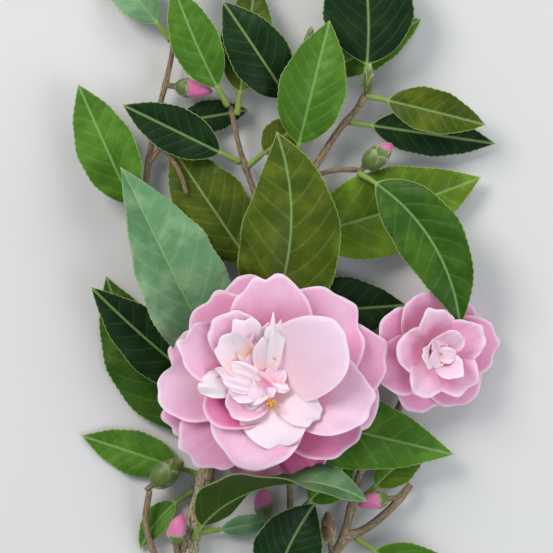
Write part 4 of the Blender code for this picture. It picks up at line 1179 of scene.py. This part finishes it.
def buildCups(lines, barkGroup, bark, material):
    for name in ("bloom_cup", "second_cup"):
        cup = cups[name]
        flower = blooms[cup["bloom"]]
        seat, axis = np.array(flower["seat"]), direction(flower["heading"], flower["rise"])
        under = cups["coreUnderside"] + spray["gap"]
        line = lines[cup["stem"]]
        start = line.point(cup.get("at", line.length))
        path = CentreLine([start, *cup["points"], seat - axis * cups["depth"], seat - axis * under])
        along = np.linspace(0, path.length, cups["rings"])
        radii = np.interp(along / path.length, np.linspace(0, 1, len(cup["radii"])), cup["radii"])
        mesh = stemMesh(name, path.point(along), radii * cups["tubeShare"], along, barkGroup, cups["sides"],
                        cups["relief"], bark)
        finishPiece(addObject(pieceName(name), mesh), name)
        axes = flowerAxes(flower["heading"], flower["rise"])
        parts = [sepalPart(seat, axes, cup["radii"][-1], k) for k in range(cups["sepals"])]
        finishPiece(newPiece(pieceName(name) + "Sepals", parts), name, material)
    print("cups done")


studio = {
    "middle": (-2.45, -2.6, 16.0), "width": 143.78, "distance": 620.0,  # of what the camera frames, in mm
    "floor": rgb(212, 211, 208), "floorRoughness": 0.9, "floorGloss": 0.2, "floorSize": 6.0, "floorDrop": 0.1,
    "sky": rgb(214, 224, 236), "skyStrength": 0.5, "aim": (0, 0, 0.01),
    "lights": {
        "key": dict(place=(-0.55, 0.5, 0.7), size=0.5, power=7.0, color=(1.0, 0.97, 0.93)),
        "fill": dict(place=(0.65, -0.35, 0.6), size=0.7, power=4.0, color=(0.93, 0.97, 1.0)),
        "back": dict(place=(0.35, 0.8, 0.55), size=0.6, power=2.6, color=(1.0, 1.0, 1.0)),
    },
}


def addLight(name, place, size, power, color):
    lamp = bpy.data.lights.new(name, "AREA")
    lamp.shape = "DISK"
    lamp.size = size
    lamp.energy = power
    lamp.color = color
    made = addObject(name, lamp)
    made.location = place
    made.rotation_euler = (Vector(studio["aim"]) - Vector(place)).to_track_quat("-Z", "Y").to_euler()


def buildStudio():
    lens = bpy.data.cameras.new("camera")
    lens.sensor_width = 36.0
    lens.lens = lens.sensor_width * studio["distance"] / studio["width"]
    lens.clip_start = 0.01
    camera = addObject("camera", lens)
    x, y, z = studio["middle"]
    camera.location = (x * mm, y * mm, (z + studio["distance"]) * mm)
    bpy.context.scene.camera = camera
    bpy.ops.mesh.primitive_plane_add(size=studio["floorSize"], location=(0, 0, -studio["floorDrop"] * mm))
    floor = bpy.context.object
    floor.name = "floor"
    paper = newMaterial("floorPaper", {"Base Color": studio["floor"], "Roughness": studio["floorRoughness"],
                                       "Specular IOR Level": studio["floorGloss"]})
    floor.data.materials.append(paper[0])
    world = bpy.data.worlds.new("studio")
    world.use_nodes = True
    sky = world.node_tree.nodes["Background"]
    sky.inputs["Color"].default_value = studio["sky"]
    sky.inputs["Strength"].default_value = studio["skyStrength"]
    bpy.context.scene.world = world
    for name, light in studio["lights"].items():
        addLight(name, **light)
    bpy.context.scene.view_settings.view_transform = "Standard"


lines = stemLines()
joints = {name: [] for name in lines}
for table in (leaves, buds, cups, stems):
    for entry in table.values():
        if isinstance(entry, dict) and "at" in entry:
            joints[entry.get("stem") or entry.get("parent")].append(entry["at"])

bark = barkMaterial()
barkGroup = buildStems(lines, joints, bark)
buildLeaves(lines)
buildBlooms()
buildStamens()
scaleMaterials = {name: scaleMaterial(name) for name in scaleFinish}
buildBuds(lines, barkGroup, bark, scaleMaterials)
buildCups(lines, barkGroup, bark, scaleMaterials["cupGreen"])
buildStudio()
